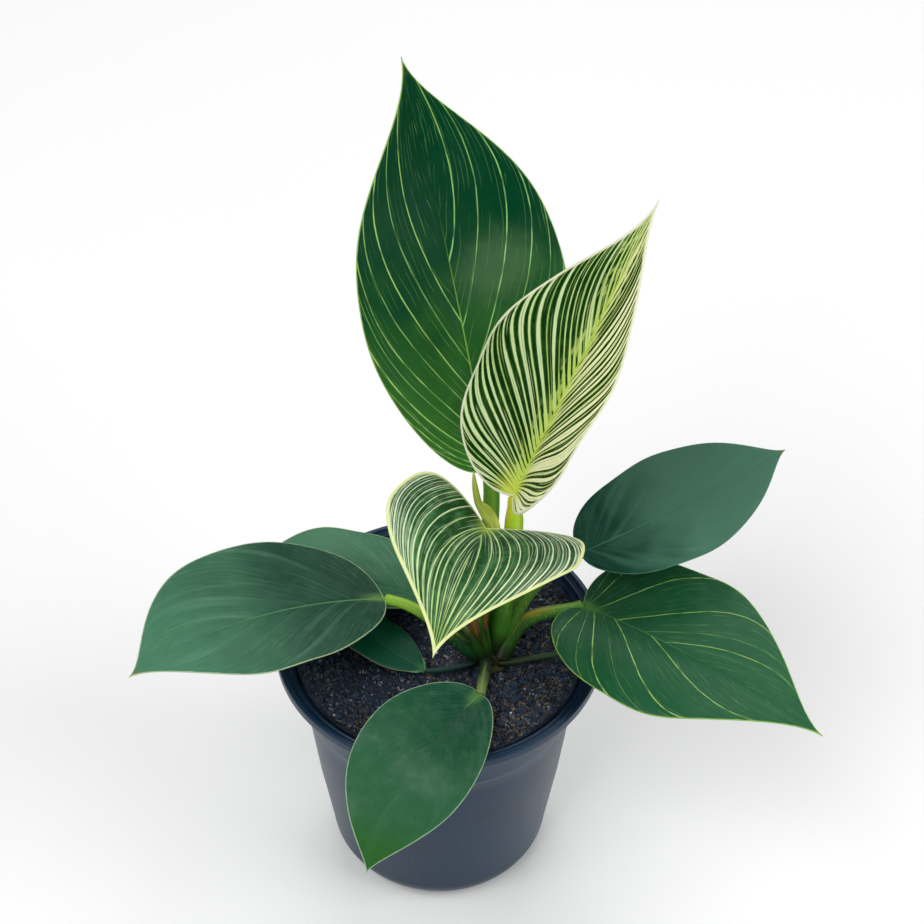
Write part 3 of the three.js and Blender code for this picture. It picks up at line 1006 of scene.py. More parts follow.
    def build(self) -> bpy.types.Material:
        """Puts the colours together: the greens, markings, midrib, foot, tip, margin and underside.

        Returns:
            The material.
        """
        finish, paint, place = self.finish, self.paint, self.place
        along, rib, mottle = self.along, self.rib, self.mottle
        colour = self.greens()
        if finish.close:
            colour = self.striped(colour)
        if any(finish.lines):
            colour = self.lined(colour)
        reach = along.step(finish.rib_reach, finish.rib_reach * 0.4) * 0.8
        colour = paint.mix(rib.step(finish.rib_width, finish.rib_width * 0.4) * reach, colour, finish.rib)
        foot = along.step(0.12, 0.0) * rib.step(finish.foot_width, 0.5) * 0.7
        colour = paint.mix(foot, colour, finish.foot)
        tip = (along + (mottle - 0.5) * 0.06).step(1 - finish.tip_reach, 1 - finish.tip_reach * 0.2)
        colour = paint.mix(tip * 0.7, colour, finish.tip)
        ragged = self.edge + (paint.noise(place, 420, 2) - 0.5) * 0.35
        rim = ragged.step(finish.margin_width, finish.margin_width * 0.45)
        colour = paint.mix(rim, colour, finish.margin)
        dust = paint.noise(place, 24, 2).step(0.42, 0.72) * mottle * finish.dust
        colour = paint.mix(dust, colour, DUST_COLOUR)
        # Painted sheen, on the blades that have one.
        if finish.sheen[0]:
            colour = self.shone(colour)
        back = paint.mix(self.streak.step(0.4, 0.7) * 0.5, finish.under, UNDER_STREAK)
        back = paint.mix(rim, back, finish.margin)
        grain = paint.noise(place, 1100, 2)
        return paint.finish({
            "Base Color": paint.mix(self.upper, back, colour),
            "Roughness": finish.roughness + dust * 0.3 + (grain - 0.5) * 0.1 + (1 - self.upper) * 0.2,
            "Normal": paint.bump(self.streak * 0.6 + grain * 0.4, 0.0001, 0.5),
            "Specular IOR Level": finish.gloss,
        })


@dataclass
class Blade:
    """A leaf blade with its midrib, pleats, margin and markings."""

    name: str
    shape: BladeShape
    finish: LeafFinish
    slot: str
    pleat_depth: float
    rows: int = 150
    columns: int = 26
    thickness: float = 0.7
    rib_height: float = 0.9
    rib_width: float = 0.75
    groove_depth: float = 0.28
    groove_width: float = 0.7
    pleats: int = 13
    row_power: float = 1.3
    thin_edge: float = 1.2

    def half(self, hand: Hand) -> bpy.types.Object:
        """Models half the blade from a flat grid whose rows follow the side veins.

        Args:
            hand: The half.

        Returns:
            The open sheet of that half.
        """
        deselect()
        bpy.ops.mesh.primitive_grid_add(
            x_subdivisions=self.columns, y_subdivisions=self.rows, size=2, location=(0, 0, 0)
        )
        sheet = named(bpy.context.active_object, f"{self.name}_{hand.name.lower()}")
        grid = places(sheet) * MM
        across, i = np.unique(np.round(grid[:, 0], 5), return_inverse=True)
        down, j = np.unique(np.round(grid[:, 1], 5), return_inverse=True)
        row, out = (down + 1) / 2, ((across + 1) / 2) ** self.row_power
        surface = Surface(self.shape)
        veins = surface.vein(hand, row, out)
        down_way = np.gradient(veins, row, axis=0)
        out_way = np.gradient(veins, out, axis=1)
        area = np.abs(down_way[..., 0] * out_way[..., 1] - down_way[..., 1] * out_way[..., 0])
        pitch = area / (np.linalg.norm(out_way, axis=-1) + 1e-6)
        flat, row, out, pitch = veins[j, i], row[j], out[i], pitch[j, i]
        edge = surface.edge_distance(hand, flat)
        share = np.clip(flat[:, 0] / self.shape.length, 0, 1)
        _, _, up = surface.midrib(flat[:, 0])
        relief = np.cos(row * self.pleats * 2 * math.pi) * self.pleat_depth
        relief *= np.clip(out / 0.15, 0, 1) * np.clip((1 - out) / 0.2, 0, 1)
        relief *= np.clip((1 - row) / 0.2, 0, 1) * np.clip(pitch / 80, 0, 1)
        groove = self.groove_depth * np.exp(-(flat[:, 1] / self.groove_width) ** 2)
        relief -= groove * (1 - share) * (flat[:, 0] > 0)
        put(sheet, surface.point(hand, flat[:, 0], flat[:, 1]) + up * relief[:, None])
        for attribute, values in (
            ("vein", row), ("out", out), ("edge", edge), ("rib", flat[:, 1]), ("along", share),
            ("hand", np.full(len(row), float(hand.value))), ("pitch", pitch),
        ):
            note(sheet, attribute, values)
        self.face_up(sheet, up)
        return sheet

    @staticmethod
    def face_up(sheet: bpy.types.Object, up: np.ndarray) -> None:
        """Turns the sheet's faces to the blade's upper side.

        Args:
            sheet: The sheet.
            up: The blade's up direction at each vertex.
        """
        middle = sheet.data.polygons[len(sheet.data.polygons) // 2]
        if np.dot(np.array(middle.normal), up[middle.vertices[0]]) < 0:
            turn_over(sheet)

    @staticmethod
    def weld(blade: bpy.types.Object) -> None:
        """Joins the halves along the midrib, at a thousand times their size.

        Only the midrib's own vertices merge, because the cells beside the tip are very narrow.

        Args:
            blade: The two halves in one piece.
        """
        put(blade, places(blade) / MM)
        with editing(blade, readings(blade, "rib") < 1e-6):
            bpy.ops.mesh.remove_doubles(threshold=1e-4)
        put(blade, places(blade) * MM)

    def thicken(self, blade: bpy.types.Object) -> None:
        """Gives the sheet its thickness, which thins out at the margin, and its rib below.

        Args:
            blade: The open sheet.
        """
        group = blade.vertex_groups.new(name="body")
        for index, weight in enumerate(np.clip(readings(blade, "edge") / self.thin_edge, 0, 1)):
            group.add([index], float(weight), "REPLACE")
        count = len(blade.data.vertices)
        modify(
            blade, "SOLIDIFY", thickness=self.thickness * MM, offset=0.0,
            vertex_group="body", thickness_vertex_group=0.4,
        )
        blade.vertex_groups.clear()
        upper = np.zeros(len(blade.data.vertices))
        upper[:count] = 1
        note(blade, "upper", upper)
        rib, along = readings(blade, "rib"), readings(blade, "along")
        _, _, up = Surface(self.shape).midrib(along * self.shape.length)
        depth = self.rib_height * (1 - along) ** 0.8 * np.exp(-(rib / self.rib_width) ** 2)
        put(blade, places(blade) - up * (depth * (1 - upper) * (along > 0))[:, None])
        smooth(blade)

    def build(self) -> bpy.types.Object:
        """Models the blade and dresses it.

        Returns:
            The finished blade, riding on the root body.
        """
        blade = join([self.half(hand) for hand in Hand], f"{self.name}_blade")
        self.weld(blade)
        self.thicken(blade)
        return dress(blade, LeafPaint(f"{self.name}_surface", self.finish).build(), self.slot, self.name)


# ------------------------------------------------------------------ stalks, stem and sheath


@dataclass(frozen=True)
class StalkShape:
    """One leaf stalk: where it leaves the stem, its two handles and its radii, in millimetres.

    neck is the share by which it narrows under its blade.
    """

    start: Point
    handles: tuple[Point, Point]
    thick: float
    thin: float
    neck: float = 0.0


@dataclass(frozen=True)
class StalkFinish:
    """Colours of a stalk from its foot to the blade, in sRGB.

    The blush lies on its upper side, or on the right or left edge where side is 1 or -1, and
    blush_reach is where it begins and ends along the stalk. crown is how yellow the stalk turns
    under the blade. foot and lower are darker partly in the stalk's own colour and partly as
    painted shade in the crown.
    """

    foot: str = "18240e"
    lower: str = "244a1c"
    upper: str = "7f9f34"
    stripe: str = "a3b95c"
    blush: str = "7d5420"
    blush_share: float = 0.3
    blush_reach: Pair = (0.08, 1.3)
    side: int = 0
    crown: float = 0.0
    turn: Pair = (0.1, 0.8)


CROWN_COLOUR = "d6c838"
BARK_FINISH = StalkFinish(foot="1a1510", lower="2b2415", upper="3a3f1c", stripe="55552c", blush="4d341c")
SHEATH_FINISH = StalkFinish(
    foot="8c9c34", lower="a9c03c", upper="bccb54", stripe="dbe48c", blush="b98f48", side=-1
)
HUSK_FINISH = StalkFinish(
    foot="141f0c", lower="222c10", upper="5c3a18", stripe="74602a", blush="4a2c14", turn=(0.15, 0.7)
)


@dataclass
class Shoot:
    """The stem in the soil, the leaf stalks that grow from it, and the newest leaf's sheath."""

    stem: Pair
    soil_level: float
    stalks: dict[str, StalkShape]
    feet: dict[str, Point]
    finishes: dict[str, StalkFinish]
    sides: int = 28
    rings: int = 72
    stem_radius: float = 5.0
    stem_flare: float = 6.2
    stem_foot: float = 80.0
    stem_top: float = 96.5
    scar: float = 0.16
    swelling: float = 0.10
    channel: float = 0.16
    sheath_path: tuple[Point, ...] = (
        (15.5, -2, 100), (14.8, 0, 112), (15.4, 3, 126), (17, 4, 138), (17.2, 3.5, 144.1),
        (16.4, 3.2, 147), (15, 2.7, 151.1), (13.4, 2.3, 154.5), (12.1, 2, 156.1), (11.6, 1.7, 159),
        (10.9, 1.3, 164.2), (10.5, 1, 169), (10.4, 1, 170.9),
    )
    sheath_radii: tuple[float, ...] = (2.2, 2.2, 2.2, 2.2, 2.1, 2.3, 2.4, 2, 1.2, 1.15, 0.95, 0.5, 0.2)
    husks: tuple[tuple[Point, Point, Point, float], ...] = (
        ((14.2, -10.2, 102.6), (11.5, -10.1, 110.9), (10.1, -8.2, 119.3), 1.5),
        ((15.9, -9.9, 104.2), (14.3, -8.9, 113.2), (15.2, -7.7, 120.8), 0.8),
    )

    @staticmethod
    def clad(piece: bpy.types.Object, finish: StalkFinish, cover: str = "skin") -> None:
        """Dresses a part of the shoot: brown at the foot, green to yellow-green, finely streaked.

        Args:
            piece: The part.
            finish: Its colours.
            cover: What its material is called.
        """
        paint = Paint(f"{piece.name}_{cover}")
        along, around, beside = (paint.reading(name) for name in ("along", "around", "beside"))
        place = paint.place()
        cloud = paint.noise(place, 160, 3)
        streak = paint.noise(paint.drawn_out(place, 0.12), 1500, 2)
        # Darker lower down: partly the stalk's own colour, partly painted shade where the crown shades the
        # stalks.
        colour = paint.mix((along + (cloud - 0.5) * 0.3).step(*finish.turn), finish.lower, finish.upper)
        colour = paint.mix(streak.step(0.5, 0.75) * along.step(0.0, 0.6) * 0.3, colour, finish.stripe)
        edge = {0: around, 1: beside, -1: 1 - beside}[finish.side]
        begin, end = finish.blush_reach
        blush = (edge + (cloud - 0.5) * 0.3).step(0.8, 1.05) * finish.blush_share
        blush = blush * along.step(begin, begin + 0.17) * along.step(end, end - 0.3)
        colour = paint.mix(blush, colour, finish.blush)
        colour = paint.mix(along.step(0.82, 1.0) * finish.crown, colour, CROWN_COLOUR)
        # Dark at the foot: partly its own colour, partly painted shade in the crown.
        colour = paint.mix((along + (cloud - 0.5) * 0.12).step(0.13, 0.0), colour, finish.foot)
        colour = paint.mix(around.step(0.955, 1.0) * along.step(0.15, 0.5) * 0.4, colour, finish.stripe)
        material = paint.finish({
            "Base Color": colour,
            "Roughness": 0.4 + (streak - 0.5) * 0.15,
            "Normal": paint.bump(streak * 0.7 + cloud * 0.3, 0.00015, 0.5),
            "Specular IOR Level": 0.16,
        })
        dress(piece, material, "stalk", "shoot")

    def build_stalk(self, name: str) -> None:
        """Models one stalk, which clasps the stem at its foot and swells under its blade.

        Args:
            name: The blade that it carries.
        """
        shape = self.stalks[name]
        share = np.linspace(0, 1, self.rings)
        start = np.array([*self.stem, self.soil_level]) + np.array(shape.start)
        path = bezier([start, *shape.handles, self.feet[name]], share)
        radii = shape.thin + (shape.thick - shape.thin) * (1 - share) ** 1.6
        radii *= 1 + self.swelling * np.exp(-((share - 0.97) / 0.035) ** 2)
        radii *= 1 - shape.neck * Surface.ease((share - 0.8) / 0.2)
        radii *= 1 - 0.6 * np.clip((share - 0.985) / 0.015, 0, 1) ** 2
        piece = tube(f"stalk_{name}", path, radii, self.sides, groove=self.channel)
        self.clad(piece, self.finishes.get(name, StalkFinish()))

    def build_stem(self) -> None:
        """Models the stem with the ring scars of its fallen leaves."""
        rings, top, flare = 60, self.stem_top, self.stem_flare
        height = np.linspace(self.stem_foot, top + 1, rings)
        path = np.stack([np.full(rings, self.stem[0]), np.full(rings, self.stem[1]), height], axis=-1)
        radii = np.interp(
            height,
            [self.stem_foot, self.stem_foot + 5, self.soil_level + 1, top - 3, top, top + 1],
            [self.stem_radius - 1, flare, flare, self.stem_radius, self.stem_radius - 1.5, 1.5],
        )
        radii += self.scar * np.sin(height * 2.6) * np.clip((top - height) / 5, 0, 1)
        self.clad(tube("stem", path, radii, 40), BARK_FINISH, "bark")

    def build_sheath(self) -> None:
        """Models the pale pointed sheath that wrapped the newest leaf, with its ridge."""
        points = np.array([(*spot, radius) for spot, radius in zip(self.sheath_path, self.sheath_radii)])
        reach = np.cumsum(np.concatenate([[0], np.linalg.norm(np.diff(points[:, :3], axis=0), axis=1)]))
        share = np.linspace(0, reach[-1], 90)
        line = np.stack([np.interp(share, reach, points[:, k]) for k in range(4)], axis=-1)
        for _ in range(4):
            line[1:-1] = (line[:-2] + 2 * line[1:-1] + line[2:]) / 4
        piece = tube("sheath", line[:, :3], line[:, 3], self.sides, flat=0.55, groove=0.25)
        self.clad(piece, SHEATH_FINISH)

    def build_husk(self, index: int, low: Point, middle: Point, top: Point, width: float) -> None:
        """Models a thin papery remnant of an old sheath at the stem.

        Args:
            index: Its number.
            low: Its foot.
            middle: Where it bends.
            top: Its tip.
            width: Its greatest half width.
        """
        share = np.linspace(0, 1, 30)
        path = bezier([low, middle, middle, top], share)
        radii = width * np.clip(0.08 + share / 0.55, 0, 1) * np.clip(0.1 + (1 - share) / 0.3, 0, 1)
        self.clad(tube(f"husk_{index}", path, radii, 20, flat=0.3), HUSK_FINISH)

    def build(self) -> None:
        """Models the whole shoot."""
        self.build_stem()
        self.build_sheath()
        for index, husk in enumerate(self.husks):
            self.build_husk(index, *husk)
        for name in self.stalks:
            self.build_stalk(name)


# ------------------------------------------------------------------ pot


@dataclass
class NurseryPot:
    """A thin moulded plastic pot with a rolled lip, a shoulder inside it and drainage slots."""

    height: float = 98.0
    rim_radius: float = 54.0
    lip_height: float = 4.0
    lip_inner_radius: float = 52.2
    shoulder_radius: float = 48.6
    shoulder_height: float = 94.2
    wall_top_radius: float = 47.9
    collar_height: float = 76.0
    collar_step: float = 0.5
    wall_foot_radius: float = 38.9
    foot_rounding: float = 11.0
    base_radius: float = 27.0
    wall: float = 1.3
    floor: float = 1.8
    sides: int = 192
    slot_count: int = 8
    slot_width: float = 12.0
    slot_height: float = 4.4
    slot_inner: float = 29.5
    slot_outer: float = 46.0
    slot_rounding: float = 0.8
    slot_first_angle: float = -77.0

    def wall_radius(self, height: float) -> float:
        """Outer radius of the wall under the collar.

        Args:
            height: Height above the base.

        Returns:
            The radius.
        """
        share = (height - self.foot_rounding) / (self.shoulder_height - self.foot_rounding)
        spread = self.wall_top_radius - self.collar_step - self.wall_foot_radius
        return self.wall_foot_radius + share * spread

    @staticmethod
    def arc(x: float, z: float, radius: float, first: float, last: float, steps: int) -> list[Pair]:
        """Points of an arc in the profile's plane, angles in degrees."""
        turns = [math.radians(first + (last - first) * i / steps) for i in range(steps + 1)]
        return [(x + radius * math.cos(a), z + radius * math.sin(a)) for a in turns]

    def profile(self) -> list[Pair]:
        """The wall's outline from the underside's middle round the lip to the floor's middle.

        Returns:
            Radii and heights in millimetres.
        """
        base, foot, top = self.base_radius, self.foot_rounding, self.height
        collar, ledge = self.collar_height, self.wall_radius(self.collar_height)
        wall, rim, lip = self.wall_top_radius, self.rim_radius, self.lip_inner_radius
        low, roll = top - self.lip_height, 0.75
        shoulder, level = self.shoulder_radius, self.shoulder_height
        return [
            (0.5, 0.0), (13.0, 0.0),
            *self.arc(base, foot, foot, -90, 0, 14),
            (self.wall_radius(40), 40), (self.wall_radius(70), 70),
            (self.wall_radius(collar - 0.9), collar - 0.9), (ledge + 0.1, collar - 0.45),
            (ledge + self.collar_step - 0.06, collar - 0.1), (ledge + self.collar_step, collar + 0.4),
            (wall - 0.15, low - 1.4), (wall + 0.05, low - 0.6), (wall + 0.5, low - 0.1), (wall + 1.4, low),
            (rim - 1.6, low),
            *self.arc(rim - roll, low + roll, roll, -90, 0, 4),
            (rim, low + 1.5), (rim, top - 1.5),
            *self.arc(rim - roll, top - roll, roll, 0, 90, 6),
            *self.arc(lip + 0.3, top - 0.3, 0.3, 90, 180, 3),
            (lip - 0.2, top - 0.8), (lip - 0.7, top - 1.35), (lip - 1.15, top - 1.5),
            *self.arc(lip - 1.75, top - 1.55, 0.4, 20, 160, 5),
            (lip - 2.3, top - 2.3), (shoulder + 0.35, level + 0.35), (shoulder, level),
            (shoulder - 0.6, level - 0.7), (wall - self.wall, level - 1.6),
            (self.wall_radius(60) - self.wall, 60), (self.wall_foot_radius - self.wall, foot),
            *self.arc(base, foot, foot - self.floor, 0, -90, 8)[1:],
            (13.0, self.floor), (0.5, self.floor),
        ]

    def slots(self) -> bpy.types.Object:
        """The bodies of the drainage slots, as one cutter.

        Returns:
            The cutter.
        """
        cutters = []
        reach = self.slot_outer - self.slot_inner
        middle = self.slot_inner + reach / 2
        for i in range(self.slot_count):
            angle = math.radians(self.slot_first_angle + i * 360 / self.slot_count)
            deselect()
            bpy.ops.mesh.primitive_cube_add(
                size=1,
                location=(middle * math.cos(angle) * MM, middle * math.sin(angle) * MM, 0),
                rotation=(0, 0, angle),
                scale=(reach * MM, self.slot_width * MM, 2 * self.slot_height * MM),
            )
            cutter = bpy.context.active_object
            settle(cutter)
            modify(cutter, "BEVEL", width=self.slot_rounding * MM, segments=3)
            cutters.append(cutter)
        return join(cutters, "slot_cutter")

    def paint(self) -> bpy.types.Material:
        """Satin moulded plastic: slate blue, faintly mottled, with fine scuffs and dust.

        Returns:
            The material.
        """
        paint = Paint("pot_plastic_satin")
        place = paint.place()
        collar = self.collar_height
        cloud = paint.noise(place, 30, 3)
        brushed = paint.noise(paint.drawn_out(place, 0.18), 520, 3)
        grain = paint.noise(place, 2600, 2)
        scuff = paint.noise(place, 150, 3).step(0.6, 0.8)
        height = paint.node("ShaderNodeSeparateXYZ", {}, {0: place}, "Z") / MM
        band = height.step(collar, collar + 0.5) * height.step(94.0, 93.5)
        # Painted shadow: a dark line just under the collar step.
        below = (height - collar + 0.8).size().step(0.9, 0.3)
        # Painted highlight: a light line along the collar step's edge.
        above = (height - collar - 0.3).size().step(0.7, 0.2)
        colour = paint.mix(cloud.step(0.3, 0.7), "0e1e34", "182a42")
        for share, tint in (
            (brushed.step(0.55, 0.8) * 0.2, "36465c"), (band * 0.1, "4c6078"), (below * 0.5, "060d18"),
            (above * 0.3, "5c7088"), (scuff * 0.08, "6c7c94"),
        ):
            colour = paint.mix(share, colour, tint)
        return paint.finish({
            "Base Color": colour,
            "Roughness": 0.36 + (cloud - 0.5) * 0.15 + scuff * 0.12 + (grain - 0.5) * 0.1,
            "Normal": paint.bump(brushed * 0.6 + grain * 0.4, 0.00006, 0.5),
            "Specular IOR Level": 0.38,
            "Specular Tint": (0.5, 0.8, 1.0),
        })

    def build(self) -> None:
        """Models the pot."""
        pot = revolve("pot_shell", self.profile(), self.sides)
        cutter = self.slots()
        modify(pot, "BOOLEAN", operation="DIFFERENCE", object=cutter, solver="EXACT")
        bpy.data.objects.remove(cutter)
        smooth(pot, 38)
        dress(pot, self.paint(), "pot_plastic", "pot")


# ------------------------------------------------------------------ soil


@dataclass(frozen=True)
class Litter:
    """One kind of lump that lies in the potting mix. Colours are written in sRGB.

    sizes are the smallest and largest radius in millimetres, and flat a lump's length, width and
    height as shares of it. lean is how strongly the lumps keep to the front right, and clump how
    strongly they gather in patches.
    """

    name: str
    count: int
    sizes: Pair
    flat: Point
    dark: str
    light: str
    rough: float
    lean: float = 0.0
    clump: float = 0.0


@dataclass
class PottingMix:
    """Dark potting mix that fills the pot, with crumbs, bark, fibres and perlite on top."""

    pot: NurseryPot
    stem: Pair
    edge_height: float = 93.0
    middle_height: float = 92.2
    edge_radius: float = 48.0
    relief: float = 1.1
    heap: float = 1.5
    clearance: float = 0.3
    stem_hole: float = 6.5
    roughness: float = 1.0
    rings: int = 120
    sides: int = 280
    wall_gap: float = 1.2
    sink: float = 0.15
    fibre_count: int = 60
    seed: int = 7
    litter: tuple[Litter, ...] = (
        Litter("peat_lumps", 950, (0.5, 1.9), (1.0, 0.85, 0.6), "081828", "22344c", 0.8),
        Litter("peat_crumbs", 3000, (0.25, 0.8), (1.0, 0.85, 0.75), "0a1828", "46586e", 0.85),
        Litter("pale_crumbs", 2300, (0.15, 0.6), (1.1, 0.85, 0.7), "2c3c4c", "8490a0", 0.85, clump=1.0),
        Litter("bark_chips", 110, (0.5, 1.6), (1.5, 0.7, 0.35), "1c1816", "54402f", 0.75),
        Litter("fine_grit", 3700, (0.15, 0.62), (1.3, 0.9, 0.7), "261f1c", "6e5e4e", 0.75, lean=0.9),
        Litter("husk_flakes", 700, (0.15, 0.6), (1.6, 0.7, 0.45), "48403a", "8c8072", 0.7, clump=1.0),
        Litter("perlite_grains", 30, (0.3, 0.75), (1.1, 0.9, 0.75), "9a9c9e", "dcdedd", 0.9),
    )

    def height(self, x: np.ndarray, y: np.ndarray) -> np.ndarray:
        """Height of the soil's surface in millimetres.

        Args:
            x: Places to the right.
            y: Places to the back.

        Returns:
            The heights.
        """
        reach = np.hypot(x, y) / self.pot.shoulder_radius
        base = self.middle_height + (self.edge_height - self.middle_height) * reach ** 2
        base += self.heap * np.clip((reach - 0.88) / 0.1, 0, 1) ** 2
        broad = np.sin(x * 0.21 + 1.3) * np.cos(y * 0.17 - 0.4)
        crumbs = np.sin(x * 0.83 + y * 0.37) * np.sin(y * 0.71 - x * 0.29 + 0.9)
        return base + self.relief * (0.45 * broad + 0.55 * crumbs)

    def body(self) -> bpy.types.Object:
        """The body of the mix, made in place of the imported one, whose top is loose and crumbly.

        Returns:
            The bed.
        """
        top = self.edge_height - 2
        radius = self.pot.wall_radius(top) - self.pot.wall - self.clearance
        foot = self.pot.foot_rounding
        bend = foot - self.pot.floor - self.clearance
        edge, rim = self.edge_radius, self.edge_height
        profile = [
            (0.0, self.pot.floor + self.clearance),
            *self.pot.arc(self.pot.base_radius - 0.1, foot, bend, -90, 0, 8),
            (radius, top), (radius + 0.2, top + 1), (edge, rim + 1.1),
        ]
        profile += [(edge * (1 - i / self.rings), rim + 1.3) for i in range(1, self.rings + 1)]
        soil = revolve("soil_bed", profile, self.sides)
        spots = places(soil)
        loose = (spots[:, 2] > rim + 1.2) & (np.hypot(spots[:, 0], spots[:, 1]) < edge)
        rough = np.array([
            noise.fractal(Vector((x * 0.45, y * 0.45, 3.0)), 0.9, 2.1, 4) for x, y, _ in spots[loose]
        ])
        spots[loose, 2] = self.height(spots[loose, 0], spots[loose, 1]) + self.roughness * rough
        put(soil, spots)
        smooth(soil, 50)
        return soil

    @staticmethod
    def paint_mix() -> bpy.types.Material:
        """Moist dark peat with brown and tan fibres.

        Returns:
            The material.
        """
        paint = Paint("potting_mix_peat")
        place = paint.place()
        cloud = paint.noise(place, 90, 4, 0.6)
        crumb = paint.noise(place, 700, 5, 0.7)
        speck = paint.noise(place, 1500, 2).step(0.68, 0.74)
        colour = paint.mix(cloud.step(0.35, 0.75), "081a30", "182a40")
        colour = paint.mix(crumb.step(0.58, 0.74) * cloud.step(0.3, 0.8), colour, "46392e")
        return paint.finish({
            "Base Color": paint.mix(speck * 0.6, colour, "7d6d55"),
            "Roughness": 0.78 + (cloud - 0.5) * 0.3,
            "Normal": paint.bump(crumb, 0.0012, 1.0),
        })

    @staticmethod
    def paint_lumps(name: str, dark: str, light: str, rough: float) -> bpy.types.Material:
        """A mottled finish for one kind of lump or fibre.

        Args:
            name: The material's name.
            dark: Its darker colour.
            light: Its lighter colour.
            rough: Its roughness.

        Returns:
            The material.
        """
        paint = Paint(name)
        place = paint.place()
        cloud = paint.noise(place, 480, 4, 0.6)
        return paint.finish({
            "Base Color": paint.mix(cloud.step(0.3, 0.7), dark, light),
            "Roughness": rough + (cloud - 0.5) * 0.1,
            "Normal": paint.bump(paint.noise(place, 1900, 3), 0.0003, 0.8),
        })

    def scatter(
        self, count: int, draw: np.random.Generator, lean: float = 0.0, clump: float = 0.0
    ) -> Iterator[Point]:
        """Random places on the soil's surface, clear of the wall and the stem.

        Args:
            count: How many places.
            draw: The seeded generator.
            lean: How strongly they keep to the front right.
            clump: How strongly they gather in patches.

        Yields:
            The places.
        """
        limit = self.edge_radius - self.wall_gap
        clear = self.stem_hole + self.wall_gap
        made = 0
        while made < count:
            x, y = draw.uniform(-limit, limit, 2)
            if math.hypot(x, y) > limit or math.hypot(x - self.stem[0], y - self.stem[1]) < clear:
                continue
            if draw.random() < lean * (0.75 - 0.8 * (x - y) / limit):
                continue
            if draw.random() < clump * (0.55 - 1.7 * noise.noise(Vector((x * 0.12, y * 0.12, 5.0)))):
                continue
            made += 1
            yield x, y, float(self.height(np.array(x), np.array(y)))

    def lumps(self, kind: Litter, draw: np.random.Generator) -> bpy.types.Object:
        """Scatters rough lumps, such as crumbs, bark chips or perlite, over the soil.

        Args:
            kind: What they are.
            draw: The seeded generator.

        Returns:
            All the lumps as one piece.
        """
        deselect()
        bpy.ops.mesh.primitive_ico_sphere_add(subdivisions=1, radius=1, location=(0, 0, 0))
        model = bpy.context.active_object
        shape = places(model) * MM
        faces = np.array([list(face.vertices) for face in model.data.polygons])
        bpy.data.objects.remove(model)
        all_spots, all_faces = [], []
        for index, (x, y, z) in enumerate(self.scatter(kind.count, draw, kind.lean, kind.clump)):
            radius = kind.sizes[0] + (kind.sizes[1] - kind.sizes[0]) * draw.random() ** 2
            spin = Matrix.Rotation(draw.uniform(0, 2 * math.pi), 3, "Z")
            tilt = Matrix.Rotation(draw.normal(0, 0.35), 3, "X")
            tilt = tilt @ Matrix.Rotation(draw.normal(0, 0.3), 3, "Y")
            stretch = np.array(kind.flat) * draw.uniform(0.7, 1.25, 3)
            rough = 1 + 0.32 * (draw.random(len(shape)) - 0.5)
            body = shape * rough[:, None] * stretch * radius
            body = body @ np.array(spin @ tilt).T
            body += np.array([x, y, z + radius * stretch[2] * (1 - self.sink) * 0.6])
            all_spots.append(body)
            all_faces.append(faces + index * len(shape))
        spots, corners = np.vstack(all_spots), np.vstack(all_faces)
        mesh = bpy.data.meshes.new(kind.name)
        mesh.from_pydata((spots * MM).tolist(), [], corners.tolist())
        piece = bpy.data.objects.new(kind.name, mesh)
        bpy.context.scene.collection.objects.link(piece)
        smooth(piece, 30)
        return piece

    def fibres(self, draw: np.random.Generator) -> bpy.types.Object:
        """Scatters thin bent fibres of coir over the soil.

        Args:
            draw: The seeded generator.

        Returns:
            All the fibres as one piece.
        """
        taper = np.array([0.4, 0.9, 1, 1, 1, 0.9, 0.4])
        limit = self.pot.wall_radius(self.edge_height) - self.pot.wall - 1.0
        pieces = []
        for index, (x, y, _) in enumerate(self.scatter(self.fibre_count, draw)):
            length, turn = draw.uniform(1.5, 5), draw.uniform(0, 2 * math.pi)
            share = np.linspace(-0.5, 0.5, len(taper))
            bow = draw.normal(0, 0.16) * length
            along = share * length
            side = bow * (1 - 4 * share ** 2)
            px = x + along * math.cos(turn) - side * math.sin(turn)
            py = y + along * math.sin(turn) + side * math.cos(turn)
            lift = self.height(px, py) + 0.35 + draw.uniform(0, 0.5) + share * draw.normal(0, 1.0)
            if not (np.hypot(px, py) < limit).all():
                continue
            path = np.stack([px, py, lift], axis=-1)
            pieces.append(tube(f"fibre_{index}", path, draw.uniform(0.05, 0.11) * taper, 5))
        return join(pieces, "coir_fibres")

    def build(self) -> None:
        """Models the soil and what lies in it."""
        draw = np.random.default_rng(self.seed)
        dress(self.body(), self.paint_mix(), "potting_mix", "soil")
        for kind in self.litter:
            skin = self.paint_lumps(f"{kind.name}_skin", kind.dark, kind.light, kind.rough)
            dress(self.lumps(kind, draw), skin, "potting_mix", "soil")
        coir = self.paint_lumps("coir_skin", "3a3026", "7f7054", 0.75)
        dress(self.fibres(draw), coir, "potting_mix", "soil")


# ------------------------------------------------------------------ stage


